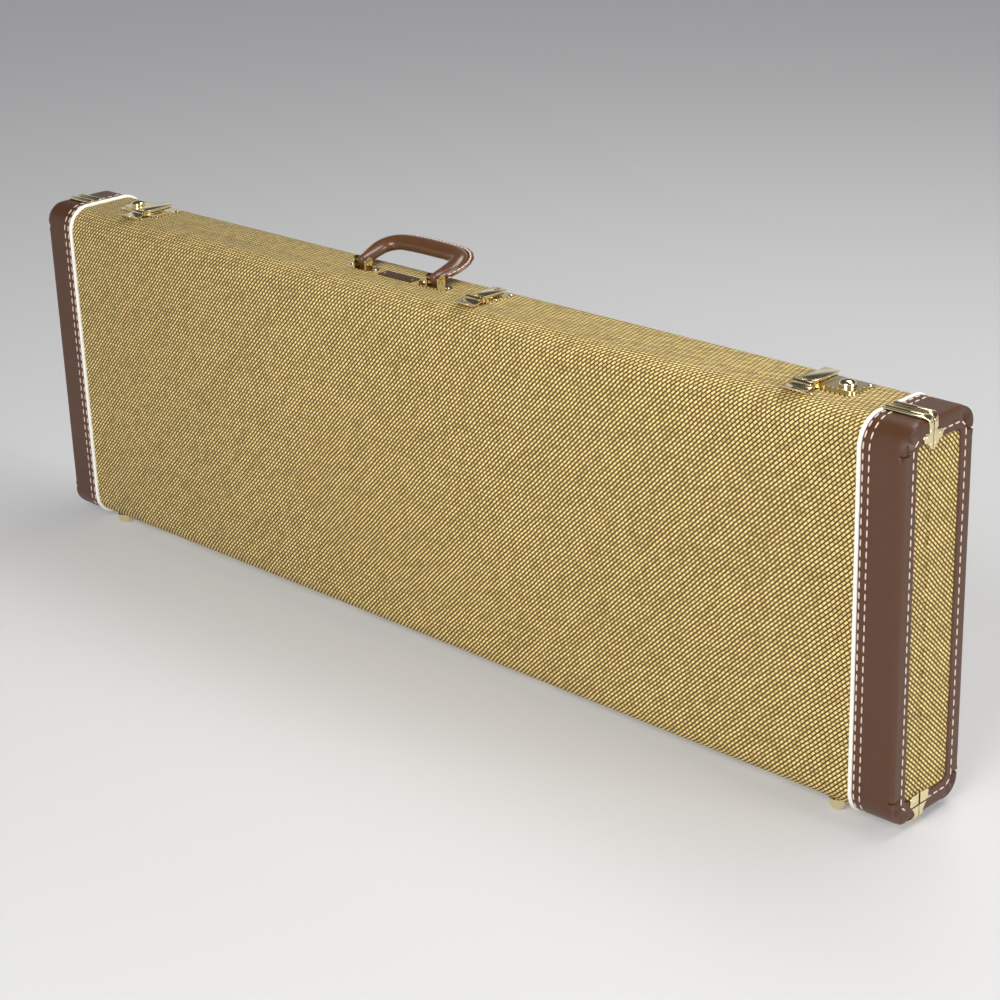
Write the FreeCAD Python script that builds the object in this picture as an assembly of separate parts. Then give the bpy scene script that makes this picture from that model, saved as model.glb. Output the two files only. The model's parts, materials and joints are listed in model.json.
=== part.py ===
"""Rectangular hard case for a bass guitar, standing on its long spine.

X runs along the case, +Y to its back, +Z up. The origin is on the floor under the middle of the case.
The lid is the front half. It is hinged along the spine, so its hinge axis runs along X near the floor.
"""
import FreeCAD
import Part
import math
import os

# ---- driving dimensions, millimetres ----
CASE_LENGTH = 1220.0
CLOTH_HEIGHT = 380.0
CLOTH_DEPTH = 103.0
LONG_EDGE_RADIUS = 25.0
SPLIT_Y = -11.0
SPLIT_GAP = 0.6
BODY_LIFT = 9.5
CLOTH = 0.8
PLYWOOD = 5.0
LEATHER_PROUD = 1.5
END_BAND = 43.0
END_BORDER = 20.0
END_EDGE_ROUND = 4.0
PIPING_RADIUS = 2.0
PIPING_STAND = 1.0
LID_LINING = 2.0
BASE_LINING = 2.8
RUN = 0.3
PIN_PLAY = 0.05

# hinges on the spine
HINGE_PLACES = (-450.0, -150.0, 150.0, 450.0)
HINGE_LENGTH = 50.0
HINGE_LEAF = 18.0
HINGE_SHEET = 1.2
HINGE_DROP = 3.4
KNUCKLE_RADIUS = 3.0
HINGE_PIN_RADIUS = 1.3
KNUCKLES = 5
KNUCKLE_GAP = 0.4
HINGE_SCREWS = 3

# feet
FOOT_X = 538.0
FOOT_Y = 34.0
FOOT_RADIUS = 8.2
FOOT_SKIRT = 2.5
FOOT_STALK = 3.0

# clamps on the ends of the split
CLAMP_SHEET = 1.2
CLAMP_STRIP = 9.0
CLAMP_FLARE = 14.0
CLAMP_DROP = 28.0
CLAMP_NECK = 0.45
CLAMP_SHOULDER = 0.7
CLAMP_HEEL = 0.85
CLAMP_BEAD = 1.2
CLAMP_BEAD_START = 2.0
CLAMP_BEAD_END = 6.0

# latches
OUTER_LATCH_X = 477.0
CENTRE_LATCH_X = 68.0
BARREL_Y = -16.0
BARREL_RISE = 4.6
BARREL_RADIUS = 2.8
LATCH_PIN_RADIUS = 1.2
LATCH_SHEET = 1.2
LEVER_WIDTH = 15.0
LEVER_REAR = 25.0
LEVER_HEIGHT = 7.6
BARREL_LENGTH = 22.0
LEVER_LIFT = 0.5
LEVER_EDGE = 1.0
TONGUE_ROOT = 1.4
PLATE_FRONT_GAP = 0.8
PLATE_REAR = 28.0
PLATE_CORNER = 3.0
PLATE_INNER = 22.0
PLATE_OUTER = 47.0
LOCK_PLATE_HALF = 13.0
EAR_WEB = 1.5
EAR_FOOT = 7.0
RIVET_RADIUS = 2.4
RIVET_RISE = 1.0
RIVET_INSET = 18.0
RIVET_OUTSET = 42.0
RIVET_FRONT_Y = -6.0
RIVET_REAR_Y = 23.0
RIVET_SIDE_Y = 24.0
LOCK_RIVET_INSET = 10.3
LOCK_RIVET_Y = (2.0, 23.5)

# slide knobs of the outer latches
KNOB_OFFSET = 31.0
KNOB_Y = 6.0
KNOB_RADIUS = 9.2
KNOB_TRAVEL = 5.0
KNOB_RIM = 1.4
KNOB_RISE = 4.2
KNOB_CLEAR = 2.8
STEM_RADIUS = 3.0
STEM_PLAY = 0.6
HOUSING_HALF = 12.0
HOUSING_GAP = 0.5
HOUSING_END = 45.0
HOUSING_RISE = 2.4
HOUSING_CORNER = 5.0

# catches on the lid
CATCH_WIDTH = 40.0
LOCK_CATCH_WIDTH = 26.0
CATCH_GAP = 0.8
CATCH_CURL_Y = -33.0
CATCH_FRONT_Y = -39.0
CATCH_CURL = 2.4
CATCH_LIP = 0.6
CATCH_ROOT = 0.2
CATCH_CORNER = 0.28
CATCH_NOSE_RADIUS = 1.4
CATCH_NOSE_HALF = 0.3
CATCH_NOSE_SET = 4.0
CATCH_RIVET_INSET = 4.2
CATCH_RIVET_Y = -27.0

# key lock in the centre lever
LOCK_REAR = 20.0
LOCK_EXTRA_HEIGHT = 1.0
PLUG_RADIUS = 2.7
PLUG_RISE = 4.2
PLUG_LENGTH = 8.4
BOSS_HALF = 4.5
BOSS_LENGTH = 9.0
BOSS_DROP = 3.4
SLOT_FRONT_Y = -4.0
SLOT_REAR_Y = 9.0
SLOT_HALF = 0.6
KEYWAY_HALF = 0.45
KEYWAY_DEPTH = 4.0
KEYWAY_REACH = 1.8

# handle
HANDLE_X = -60.0
HANDLE_SPACING = 109.0
HANDLE_PIVOT_Y = 0.0
HANDLE_PIVOT_RISE = 8.0
HANDLE_END_RADIUS = 6.0
HANDLE_LEAN = 66.0
HANDLE_REACH = 47.0
HANDLE_SPAN = 135.0
GRIP_RADIUS = 10.5
GRIP_RISE = 12.0
GRIP_SHOULDER = (16.0, 1.0)
GRIP_BEND = (3.0, 14.0)
GRIP_FLAT = 32.0
GRIP_END_HALF = 6.5
GRIP_CHEEK = 12.0
GRIP_CHEEK_TOP = 9.5
BUSH_RADIUS = 1.85
BUSH_BORE = 1.55
BUSH_HALF = 7.0
HANDLE_PIN_RADIUS = 1.5
HANDLE_PIN_HEAD = 1.2
HANDLE_PLATE = (48.0, 17.0, 1.4)
HANDLE_PLATE_POINT = 8.0
HANDLE_PLATE_CORNER = 2.0
HANDLE_RIVET_X = 18.0
EAR_GAP = 15.0
EAR_THICK = 2.0
EAR_RADIUS = 5.0

# blank badge between the handle's mounts
BADGE_HALF = (25.0, 7.5)
BADGE_SHEET = 1.0
BADGE_CORNER = 2.0
BADGE_PIN_X = 21.0
BADGE_PIN_RADIUS = 1.2

# inside
VALANCE_THICK = 2.5
VALANCE_TONGUE = 7.0
VALANCE_ROOT = 14.0
PAD_TOP_Y = -9.0
BAY_TAIL = (-415.0, 165.0)
BAY_SHOULDER = (-205.0, 150.0)
BAY_WAIST = 130.0
CHANNEL_HALF = 42.0
BODY_PAD_END = -40.0
HEAD_BAY = (430.0, 588.0, 74.0)
POCKET_X = (-30.0, 230.0)
POCKET_WALL = 5.0
POCKET_TOP_Y = 8.0
POCKET_LID = 5.0
POCKET_MARGIN = 1.0
POCKET_HINGE_WIDTH = 6.0
POCKET_HINGE_LAP = 0.6
POCKET_HINGE_CLOTH = 0.8
PULL_HALF = 9.0
PULL_THICK = 1.6
PULL_OVERHANG = 9.0
PULL_LAP = 12.0
REST_SADDLE = 38.0
REST_DIP = 16.0
REST_PLACES = (40.0, 350.0)
REST_LENGTH = 60.0
REST_TOP_Y = 6.0
PAD_GAP = 0.4
CHANNEL_LAP = 5.0
CUSHION_INSET = 4.0
CUSHION_THICK = 8.0
LID_CUSHION_X = (-560.0, -60.0)
LID_CUSHION_HALF = 150.0

# ---- worked-out sizes ----
CLOTH_BOTTOM = BODY_LIFT
CLOTH_TOP = CLOTH_BOTTOM + CLOTH_HEIGHT
MIDDLE_Z = (CLOTH_BOTTOM + CLOTH_TOP) / 2
HALF_DEPTH = CLOTH_DEPTH / 2
HALF_LENGTH = CASE_LENGTH / 2
CLOTH_END = HALF_LENGTH - LEATHER_PROUD
PIPING_X = HALF_LENGTH - END_BAND
SLEEVE_END = PIPING_X - PIPING_RADIUS
BAND_START = PIPING_X + PIPING_RADIUS
HINGE_Z = CLOTH_BOTTOM - HINGE_DROP
BARREL_Z = CLOTH_TOP + BARREL_RISE
HANDLE_Z = CLOTH_TOP + HANDLE_PIVOT_RISE
LINED_BOTTOM = CLOTH_BOTTOM + CLOTH + PLYWOOD + BASE_LINING
LINED_TOP = CLOTH_TOP - CLOTH - PLYWOOD - BASE_LINING
LINED_BACK = HALF_DEPTH - CLOTH - PLYWOOD - BASE_LINING
LINED_END = CLOTH_END - CLOTH - PLYWOOD - BASE_LINING
PAD_SLACK = 0.3
PAD_BOTTOM = LINED_BOTTOM + VALANCE_THICK + PAD_SLACK
PAD_TOP = LINED_TOP - VALANCE_THICK - PAD_SLACK
PAD_END = LINED_END - VALANCE_THICK - PAD_SLACK
LATCH_TOP = CLOTH_TOP + LATCH_SHEET
BIG = 3000.0
OVERCUT = 1.0
TINY = 0.01

V = FreeCAD.Vector
ALONG_X = V(1, 0, 0)
ALONG_Y = V(0, 1, 0)
ALONG_Z = V(0, 0, 1)


def box(low, high):
    """A box between two opposite corners."""
    return Part.makeBox(high[0] - low[0], high[1] - low[1], high[2] - low[2], V(*low))


def rod(start, axis, radius, length):
    """A round bar from a point along an axis."""
    return Part.makeCylinder(radius, length, V(*start), axis)


def fuse(pieces):
    """One solid made of touching pieces."""
    joined = pieces[0].multiFuse(pieces[1:]) if len(pieces) > 1 else pieces[0]
    return joined.removeSplitter()


def section(x, inset):
    """The case's rounded outline in the YZ plane at x, moved inwards by inset from the cloth."""
    y = HALF_DEPTH - inset
    low = CLOTH_BOTTOM + inset
    high = CLOTH_TOP - inset
    r = LONG_EDGE_RADIUS - inset
    bow = r * (1 - math.sqrt(0.5))
    corners = []
    for sy, z, sz in ((1, low, -1), (1, high, 1), (-1, high, 1), (-1, low, -1)):
        on_side = V(x, sy * y, z - sz * r)
        mid = V(x, sy * (y - bow), z - sz * bow)
        on_end = V(x, sy * (y - r), z)
        corners.append((on_side, mid, on_end))
    edges = []
    for number, (on_side, mid, on_end) in enumerate(corners):
        first, last = (on_end, on_side) if number % 2 == 0 else (on_side, on_end)
        edges.append(Part.Arc(first, mid, last).toShape())
        following = corners[(number + 1) % 4]
        target = following[0] if number % 2 == 0 else following[2]
        edges.append(Part.LineSegment(last, target).toShape())
    return Part.Wire(edges)


def bar(x0, x1, inset):
    """A solid bar with the case's rounded section between two x places."""
    return Part.Face(section(x0, inset)).extrude(V(x1 - x0, 0, 0))


def lid_half(shape):
    """What lies on the lid's side of the split."""
    return shape.common(box((-BIG, -BIG, -BIG), (BIG, SPLIT_Y - SPLIT_GAP / 2, BIG)))


def base_half(shape):
    """What lies on the base's side of the split."""
    return shape.common(box((-BIG, SPLIT_Y + SPLIT_GAP / 2, -BIG), (BIG, BIG, BIG)))


def mirrored(shape):
    """The same piece at the other end of the case."""
    return shape.mirror(V(0, 0, 0), ALONG_X)


def group(shapes):
    """Separate solids that share one node."""
    solids = []
    for shape in shapes:
        solids.extend(shape.Solids)
    return Part.makeCompound(solids)


def save(name, shape):
    """Writes one node and checks that it is made of sound solids."""
    solids = shape.Solids
    if not solids or not shape.isValid():
        raise ValueError(name + " is not a sound solid")
    kept = solids[0] if len(solids) == 1 else Part.makeCompound(solids)
    kept.exportStep("parts/" + name + ".step")
    b = kept.BoundBox
    print("%-24s %2d solids %10.0f mm3  x %.1f..%.1f y %.1f..%.1f z %.1f..%.1f" % (
        name, len(solids), kept.Volume, b.XMin, b.XMax, b.YMin, b.YMax, b.ZMin, b.ZMax))


def shells():
    """The plywood box, cut into lid and base."""
    outer_end = CLOTH_END - CLOTH
    inner_end = outer_end - PLYWOOD
    outer = bar(-outer_end, outer_end, CLOTH)
    inner = bar(-inner_end, inner_end, CLOTH + PLYWOOD)
    whole = outer.cut(inner)
    save("lid_shell", lid_half(whole))
    save("base_shell", base_half(whole))


def linings():
    """Plush glued inside each half."""
    end = CLOTH_END - CLOTH - PLYWOOD
    room = bar(-end, end, CLOTH + PLYWOOD)
    for name, thick, half in (("lid_lining", LID_LINING, lid_half), ("base_lining", BASE_LINING, base_half)):
        hollow = bar(-end + thick, end - thick, CLOTH + PLYWOOD + thick)
        save(name, half(room.cut(hollow)))


def cloth_covers():
    """Tweed round the four long sides, and a tweed panel set in each end."""
    sleeve = bar(-SLEEVE_END, SLEEVE_END, 0).cut(bar(-SLEEVE_END - OVERCUT, SLEEVE_END + OVERCUT, CLOTH))
    save("lid_tweed", lid_half(sleeve))
    save("base_tweed", base_half(sleeve))
    panel = bar(CLOTH_END - CLOTH, CLOTH_END, END_BORDER)
    for name, half in (("lid", lid_half), ("base", base_half)):
        save(name + "_end_panel_right", half(panel))
        save(name + "_end_panel_left", half(mirrored(panel)))


def bindings():
    """Leather folded round each end: a band, and a border on the end face."""
    outer = bar(BAND_START, HALF_LENGTH, -LEATHER_PROUD)
    end_loop = [e for e in outer.Edges if e.BoundBox.XMin > HALF_LENGTH - TINY]
    outer = outer.makeFillet(END_EDGE_ROUND, end_loop)
    core = bar(BAND_START - OVERCUT, CLOTH_END - CLOTH, CLOTH)
    window = bar(CLOTH_END - 2 * CLOTH, HALF_LENGTH + OVERCUT, END_BORDER)
    whole = outer.cut(core).cut(window)
    for name, half in (("lid", lid_half), ("base", base_half)):
        save(name + "_binding_right", half(whole))
        save(name + "_binding_left", half(mirrored(whole)))


def pipings():
    """A round welt between the cloth's end and the leather's edge."""
    path = section(PIPING_X, -PIPING_STAND)
    start = path.Edges[1].valueAt(path.Edges[1].FirstParameter)
    direction = path.Edges[1].tangentAt(path.Edges[1].FirstParameter)
    circle = Part.Wire([Part.makeCircle(PIPING_RADIUS, start, direction)])
    edges = path.Edges[1:] + path.Edges[:1]
    loop = Part.Wire(edges).makePipeShell([circle], True, False)
    loop = loop.cut(bar(SLEEVE_END - OVERCUT, BAND_START + OVERCUT, CLOTH))
    for name, half in (("lid_pipings", lid_half), ("base_pipings", base_half)):
        save(name, group([half(loop), half(mirrored(loop))]))


def valance():
    """The wooden lip fixed in the base, whose tongue locates the lid."""
    y0 = SPLIT_Y - VALANCE_TONGUE
    y1 = SPLIT_Y + VALANCE_ROOT
    outer = box((-LINED_END, y0, LINED_BOTTOM), (LINED_END, y1, LINED_TOP))
    t = VALANCE_THICK
    inner = box((-LINED_END + t, y0 - OVERCUT, LINED_BOTTOM + t),
                (LINED_END - t, y1 + OVERCUT, LINED_TOP - t))
    save("valance", outer.cut(inner))


def hinge_leaf(start, side):
    """One leaf and its knuckles: side -1 for the lid, 1 for the base."""
    z0 = CLOTH_BOTTOM - HINGE_SHEET
    pitch = HINGE_LENGTH / KNUCKLES
    split_edge = SPLIT_Y + side * SPLIT_GAP / 2
    near = SPLIT_Y + side * (KNUCKLE_RADIUS + KNUCKLE_GAP)
    far = SPLIT_Y + side * HINGE_LEAF
    flat = box((start, min(far, near), z0), (start + HINGE_LENGTH, max(far, near), CLOTH_BOTTOM))
    pieces = [flat]
    for number in range(KNUCKLES):
        if (number % 2 == 0) != (side > 0):
            continue
        x0 = start + number * pitch + KNUCKLE_GAP / 2
        x1 = x0 + pitch - KNUCKLE_GAP
        low_y = min(split_edge, near)
        high_y = max(split_edge, near)
        round_bar = rod((x0, SPLIT_Y, HINGE_Z), ALONG_X, KNUCKLE_RADIUS + OVERCUT, x1 - x0)
        pieces.append(rod((x0, SPLIT_Y, HINGE_Z), ALONG_X, KNUCKLE_RADIUS, x1 - x0))
        pieces.append(box((x0, low_y, z0), (x1, high_y, CLOTH_BOTTOM)))
        pieces.append(box((x0, low_y, HINGE_Z), (x1, high_y, z0)).common(round_bar))
    hole_radius = HINGE_PIN_RADIUS + PIN_PLAY
    hole = rod((start - OVERCUT, SPLIT_Y, HINGE_Z), ALONG_X, hole_radius, HINGE_LENGTH + 2 * OVERCUT)
    return fuse(pieces).cut(hole)


def hinge_screws(centre, side):
    """Three low screw heads along the middle of a leaf."""
    z0 = CLOTH_BOTTOM - HINGE_SHEET
    y = SPLIT_Y + side * (HINGE_LEAF + KNUCKLE_RADIUS + KNUCKLE_GAP) / 2
    below = box((-BIG, -BIG, z0 - BIG), (BIG, BIG, z0))
    heads = []
    pitch = HINGE_LENGTH / HINGE_SCREWS
    for offset in (-pitch, 0, pitch):
        ball = Part.makeSphere(RIVET_RADIUS, V(centre + offset, y, z0 + RIVET_RADIUS - RIVET_RISE))
        heads.append(ball.common(below))
    return heads


def hinges():
    """Butt hinges screwed under the spine: lid leaves, base leaves, pins and screws."""
    starts = [centre - HINGE_LENGTH / 2 for centre in HINGE_PLACES]
    for name, side in (("lid", -1), ("base", 1)):
        save(name + "_hinge_leaves", group([hinge_leaf(start, side) for start in starts]))
        heads = []
        for centre in HINGE_PLACES:
            heads.extend(hinge_screws(centre, side))
        save(name + "_hinge_screws", group(heads))
    save("hinge_pins", group([rod((start, SPLIT_Y, HINGE_Z), ALONG_X, HINGE_PIN_RADIUS, HINGE_LENGTH)
                              for start in starts]))


def foot(x, y):
    """A domed brass glide nailed to the spine."""
    rise = BODY_LIFT - FOOT_SKIRT
    ball = (FOOT_RADIUS ** 2 + rise ** 2) / (2 * rise)
    below = box((x - ball, y - ball, -OVERCUT), (x + ball, y + ball, rise))
    dome = Part.makeSphere(ball, V(x, y, ball)).common(below)
    skirt = rod((x, y, rise), ALONG_Z, FOOT_RADIUS, BODY_LIFT - rise)
    return fuse([dome, skirt])


def feet():
    """Two glides under the lid and two under the base, trimmed to the rounded spine edge."""
    core = bar(-BAND_START, BAND_START, 0)
    for name, y in (("lid_feet", -FOOT_Y), ("base_feet", FOOT_Y)):
        stalk = [rod((x, y, BODY_LIFT), ALONG_Z, FOOT_RADIUS, FOOT_STALK).cut(core)
                 for x in (-FOOT_X, FOOT_X)]
        domes = [foot(x, y) for x in (-FOOT_X, FOOT_X)]
        save(name, group([fuse([dome, up]) for dome, up in zip(domes, stalk)]))


def folded_corner(y0, y1, edge):
    """What fills the leather's rounded end edge under a clamp, between two y places."""
    face = HALF_LENGTH
    leather = bar(BAND_START, face, -LEATHER_PROUD)
    rounded = leather.makeFillet(END_EDGE_ROUND, [e for e in leather.Edges if e.BoundBox.XMin > face - TINY])
    corner = rod((face, y0, edge), ALONG_Y, END_EDGE_ROUND, y1 - y0)
    wedge = box((face - END_EDGE_ROUND, y0, edge - END_EDGE_ROUND), (face, y1, edge + END_EDGE_ROUND))
    return wedge.common(corner).common(leather).cut(rounded)


def end_clamp(side, top):
    """Half of a clamp: a strip on the band and a flared plate folded over the end, right end of the case."""
    face = HALF_LENGTH
    edge = CLOTH_TOP + LEATHER_PROUD if top else CLOTH_BOTTOM - LEATHER_PROUD
    up = 1 if top else -1
    outer_z = edge + up * CLAMP_SHEET
    y0 = SPLIT_Y + side * SPLIT_GAP / 2
    y1 = SPLIT_Y + side * CLAMP_STRIP
    y2 = SPLIT_Y + side * CLAMP_FLARE
    low_y, high_y = sorted((y0, y1))
    low_z, high_z = sorted((edge, outer_z))
    flat = box((BAND_START, low_y, low_z), (face + CLAMP_SHEET, high_y, high_z))
    outline = [V(face, y0, outer_z), V(face, y1, outer_z)]
    for y, share in ((y1, CLAMP_NECK), (y2, CLAMP_SHOULDER), (y2, CLAMP_HEEL), (y0, 1)):
        outline.append(V(face, y, edge - up * CLAMP_DROP * share))
    plate = Part.Face(Part.makePolygon(outline + outline[:1])).extrude(V(CLAMP_SHEET, 0, 0))
    bead_length = END_BAND - CLAMP_BEAD_START - CLAMP_BEAD_END
    bead = rod((BAND_START + CLAMP_BEAD_START, (y0 + y1) / 2, outer_z), ALONG_X, CLAMP_BEAD, bead_length)
    bead = bead.cut(bar(BAND_START, face, -LEATHER_PROUD))
    whole = fuse([flat, plate, bead, folded_corner(low_y, high_y, edge)])
    fold = [e for e in whole.Edges
            if abs(e.BoundBox.XMin - face - CLAMP_SHEET) < TINY and e.BoundBox.XLength < TINY
            and abs(e.BoundBox.ZMin - outer_z) < TINY and e.BoundBox.ZLength < TINY]
    return whole.makeFillet(CLAMP_SHEET * 0.9, fold) if fold else whole


def end_clamps():
    """The clamps of all four ends of the split, as lid halves and base halves."""
    for name, side in (("lid_end_clamps", -1), ("base_end_clamps", 1)):
        halves = []
        for top in (True, False):
            piece = end_clamp(side, top)
            halves.append(piece)
            halves.append(mirrored(piece))
        save(name, group(halves))


def rivet(x, y, z):
    """A low domed rivet head on a surface at height z."""
    ball = (RIVET_RADIUS ** 2 + RIVET_RISE ** 2) / (2 * RIVET_RISE)
    head = Part.makeSphere(ball, V(x, y, z + RIVET_RISE - ball))
    r = RIVET_RADIUS
    return head.common(box((x - r, y - r, z), (x + r, y + r, z + RIVET_RISE)))


def plate(low, high, radius):
    """A flat plate with rounded corners seen from above."""
    solid = box(low, high)
    thick = high[2] - low[2]
    uprights = [e for e in solid.Edges if e.BoundBox.ZLength > thick - TINY]
    return solid.makeFillet(radius, uprights)


def catch_plate(x, width):
    """The stamped catch on the lid, level at first and curled up at its front."""
    z = CLOTH_TOP
    x0 = x - width / 2
    rear = BARREL_Y - BARREL_RADIUS - CATCH_GAP
    profile = [
        V(x0, rear, z), V(x0, rear, LATCH_TOP), V(x0, CATCH_CURL_Y, LATCH_TOP),
        V(x0, CATCH_FRONT_Y, LATCH_TOP + CATCH_CURL), V(x0, CATCH_FRONT_Y - CATCH_LIP, z + CATCH_CURL),
        V(x0, CATCH_CURL_Y - CATCH_ROOT, z)]
    sheet = Part.Face(Part.makePolygon(profile + profile[:1])).extrude(V(width, 0, 0))
    plan = box((x0, CATCH_FRONT_Y - CATCH_LIP, z - OVERCUT), (x0 + width, rear, z + LEVER_HEIGHT))
    front_edges = [e for e in plan.Edges
                   if e.BoundBox.ZLength > LEVER_HEIGHT and e.BoundBox.YMax < CATCH_FRONT_Y]
    plan = plan.makeFillet(width * CATCH_CORNER, front_edges)
    nose_half = width * CATCH_NOSE_HALF
    nose = rod((x - nose_half, rear - CATCH_NOSE_SET, LATCH_TOP), ALONG_X, CATCH_NOSE_RADIUS, 2 * nose_half)
    nose = nose.common(box((-BIG, -BIG, LATCH_TOP), (BIG, BIG, BIG)))
    return fuse([sheet.common(plan), nose])


def catches():
    """The catch plates and the rivets that hold them to the lid."""
    places = ((-OUTER_LATCH_X, CATCH_WIDTH), (CENTRE_LATCH_X, LOCK_CATCH_WIDTH), (OUTER_LATCH_X, CATCH_WIDTH))
    save("catch_plates", group([catch_plate(x, width) for x, width in places]))
    rivets = []
    for x, width in places:
        for side in (-1, 1):
            rivets.append(rivet(x + side * (width / 2 - CATCH_RIVET_INSET), CATCH_RIVET_Y, LATCH_TOP))
    save("catch_rivets", group(rivets))


def pin_hole(x):
    """The bore for a latch's barrel pin."""
    start = (x - BARREL_LENGTH, BARREL_Y, BARREL_Z)
    return rod(start, ALONG_X, LATCH_PIN_RADIUS + PIN_PLAY, 2 * BARREL_LENGTH)


def latch_base(x, inner, outer, out):
    """A latch's base plate with the two ears that carry its barrel pin."""
    z = CLOTH_TOP
    front = SPLIT_Y + PLATE_FRONT_GAP
    x0, x1 = sorted((x - out * inner, x + out * outer))
    pieces = [plate((x0, front, z), (x1, PLATE_REAR, LATCH_TOP), PLATE_CORNER)]
    for side in (-1, 1):
        e0, e1 = sorted((x + side * (LEVER_WIDTH / 2 + RUN), x + side * BARREL_LENGTH / 2))
        pieces.append(rod((e0, BARREL_Y, BARREL_Z), ALONG_X, BARREL_RADIUS, e1 - e0))
        web = [V(e0, BARREL_Y, BARREL_Z + EAR_WEB), V(e0, BARREL_Y, BARREL_Z - EAR_WEB),
               V(e0, front, z + RUN), V(e0, front + EAR_FOOT, LATCH_TOP)]
        pieces.append(Part.Face(Part.makePolygon(web + web[:1])).extrude(V(e1 - e0, 0, 0)))
    return fuse(pieces).cut(pin_hole(x))


def lever(x, width, rear, high):
    """A channel lever: a top, two cheeks, a rear lip and the knuckle round its pin."""
    t = LATCH_SHEET
    low = LATCH_TOP + LEVER_LIFT
    top = CLOTH_TOP + high
    front = BARREL_Y + BARREL_RADIUS + LEVER_EDGE
    x0 = x - width / 2
    outer = box((x0, front, low), (x0 + width, rear, top))
    long_edges = [e for e in outer.Edges if e.BoundBox.YLength > width and e.BoundBox.ZMin > top - TINY]
    outer = outer.makeFillet(LEVER_EDGE, long_edges)
    hollow = box((x0 + t, front - OVERCUT, low - OVERCUT), (x0 + width - t, rear - t, top - t))
    knuckle = rod((x0, BARREL_Y, BARREL_Z), ALONG_X, BARREL_RADIUS, width)
    bridge = [V(x0, BARREL_Y, BARREL_Z + BARREL_RADIUS), V(x0, front + LEVER_EDGE, top),
              V(x0, front + LEVER_EDGE, top - t), V(x0, BARREL_Y + 1, BARREL_Z + TONGUE_ROOT)]
    tongue = Part.Face(Part.makePolygon(bridge + bridge[:1])).extrude(V(width, 0, 0))
    return fuse([outer.cut(hollow), knuckle, tongue]).cut(pin_hole(x))


def slide_housing(x, out):
    """The low pressed cover that the knob's stem slides in."""
    x0, x1 = sorted((x + out * (BARREL_LENGTH / 2 + HOUSING_GAP), x + out * HOUSING_END))
    low = (x0, KNOB_Y - HOUSING_HALF, LATCH_TOP)
    high = (x1, KNOB_Y + HOUSING_HALF, LATCH_TOP + HOUSING_RISE)
    knob_x = x + out * KNOB_OFFSET
    half = STEM_RADIUS + STEM_PLAY
    s0, s1 = sorted((knob_x - out * half, knob_x + out * (KNOB_TRAVEL + half)))
    slot = box((s0, KNOB_Y - half, LATCH_TOP - TINY), (s1, KNOB_Y + half, CLOTH_TOP + LEVER_HEIGHT))
    return plate(low, high, HOUSING_CORNER).cut(slot)


def knob(x, out):
    """The domed slide button and its stem."""
    knob_x = x + out * KNOB_OFFSET
    stem = rod((knob_x, KNOB_Y, LATCH_TOP + RUN), ALONG_Z, STEM_RADIUS, STEM_RADIUS)
    rim = rod((knob_x, KNOB_Y, LATCH_TOP + KNOB_CLEAR), ALONG_Z, KNOB_RADIUS, KNOB_RIM)
    rim_top = LATCH_TOP + KNOB_CLEAR + KNOB_RIM
    ball = (KNOB_RADIUS ** 2 + KNOB_RISE ** 2) / (2 * KNOB_RISE)
    crown = Part.makeSphere(ball, V(knob_x, KNOB_Y, rim_top + KNOB_RISE - ball))
    r = KNOB_RADIUS
    above = box((knob_x - r, KNOB_Y - r, rim_top), (knob_x + r, KNOB_Y + r, rim_top + KNOB_RISE))
    crown = crown.common(above)
    return fuse([stem, rim, crown])


def outer_latches():
    """The two side latches, with the knob on the side nearer the end of the case."""
    for name, out in (("left", -1), ("right", 1)):
        x = out * OUTER_LATCH_X
        save("latch_plate_" + name, latch_base(x, PLATE_INNER, PLATE_OUTER, out))
        save("latch_lever_" + name, lever(x, LEVER_WIDTH, LEVER_REAR, LEVER_HEIGHT))
        save("slide_housing_" + name, slide_housing(x, out))
        save("slide_knob_" + name, knob(x, out))


def centre_latch():
    """The middle latch, a deeper lever that carries the key lock."""
    x = CENTRE_LATCH_X
    save("lock_plate", latch_base(x, LOCK_PLATE_HALF, LOCK_PLATE_HALF, 1))
    high = LEVER_HEIGHT + LOCK_EXTRA_HEIGHT
    plug_z = LATCH_TOP + PLUG_RISE
    plug_start = (x, LOCK_REAR - BOSS_LENGTH + OVERCUT, plug_z)
    body = lever(x, LEVER_WIDTH, LOCK_REAR, high)
    boss = box((x - BOSS_HALF, LOCK_REAR - BOSS_LENGTH, plug_z - BOSS_DROP),
               (x + BOSS_HALF, LOCK_REAR, CLOTH_TOP + high - LATCH_SHEET))
    bore = rod(plug_start, ALONG_Y, PLUG_RADIUS + PIN_PLAY, LOCK_REAR)
    slots = box((x - LEVER_WIDTH, SLOT_FRONT_Y, plug_z - SLOT_HALF),
                (x + LEVER_WIDTH, SLOT_REAR_Y, plug_z + SLOT_HALF))
    save("lock_lever", fuse([body, boss]).cut(bore).cut(slots))
    plug = rod(plug_start, ALONG_Y, PLUG_RADIUS, PLUG_LENGTH)
    keyway = box((x - KEYWAY_HALF, LOCK_REAR - KEYWAY_DEPTH, plug_z - KEYWAY_REACH),
                 (x + KEYWAY_HALF, LOCK_REAR + OVERCUT, plug_z + KEYWAY_REACH))
    save("lock_cylinder", plug.cut(keyway))


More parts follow.
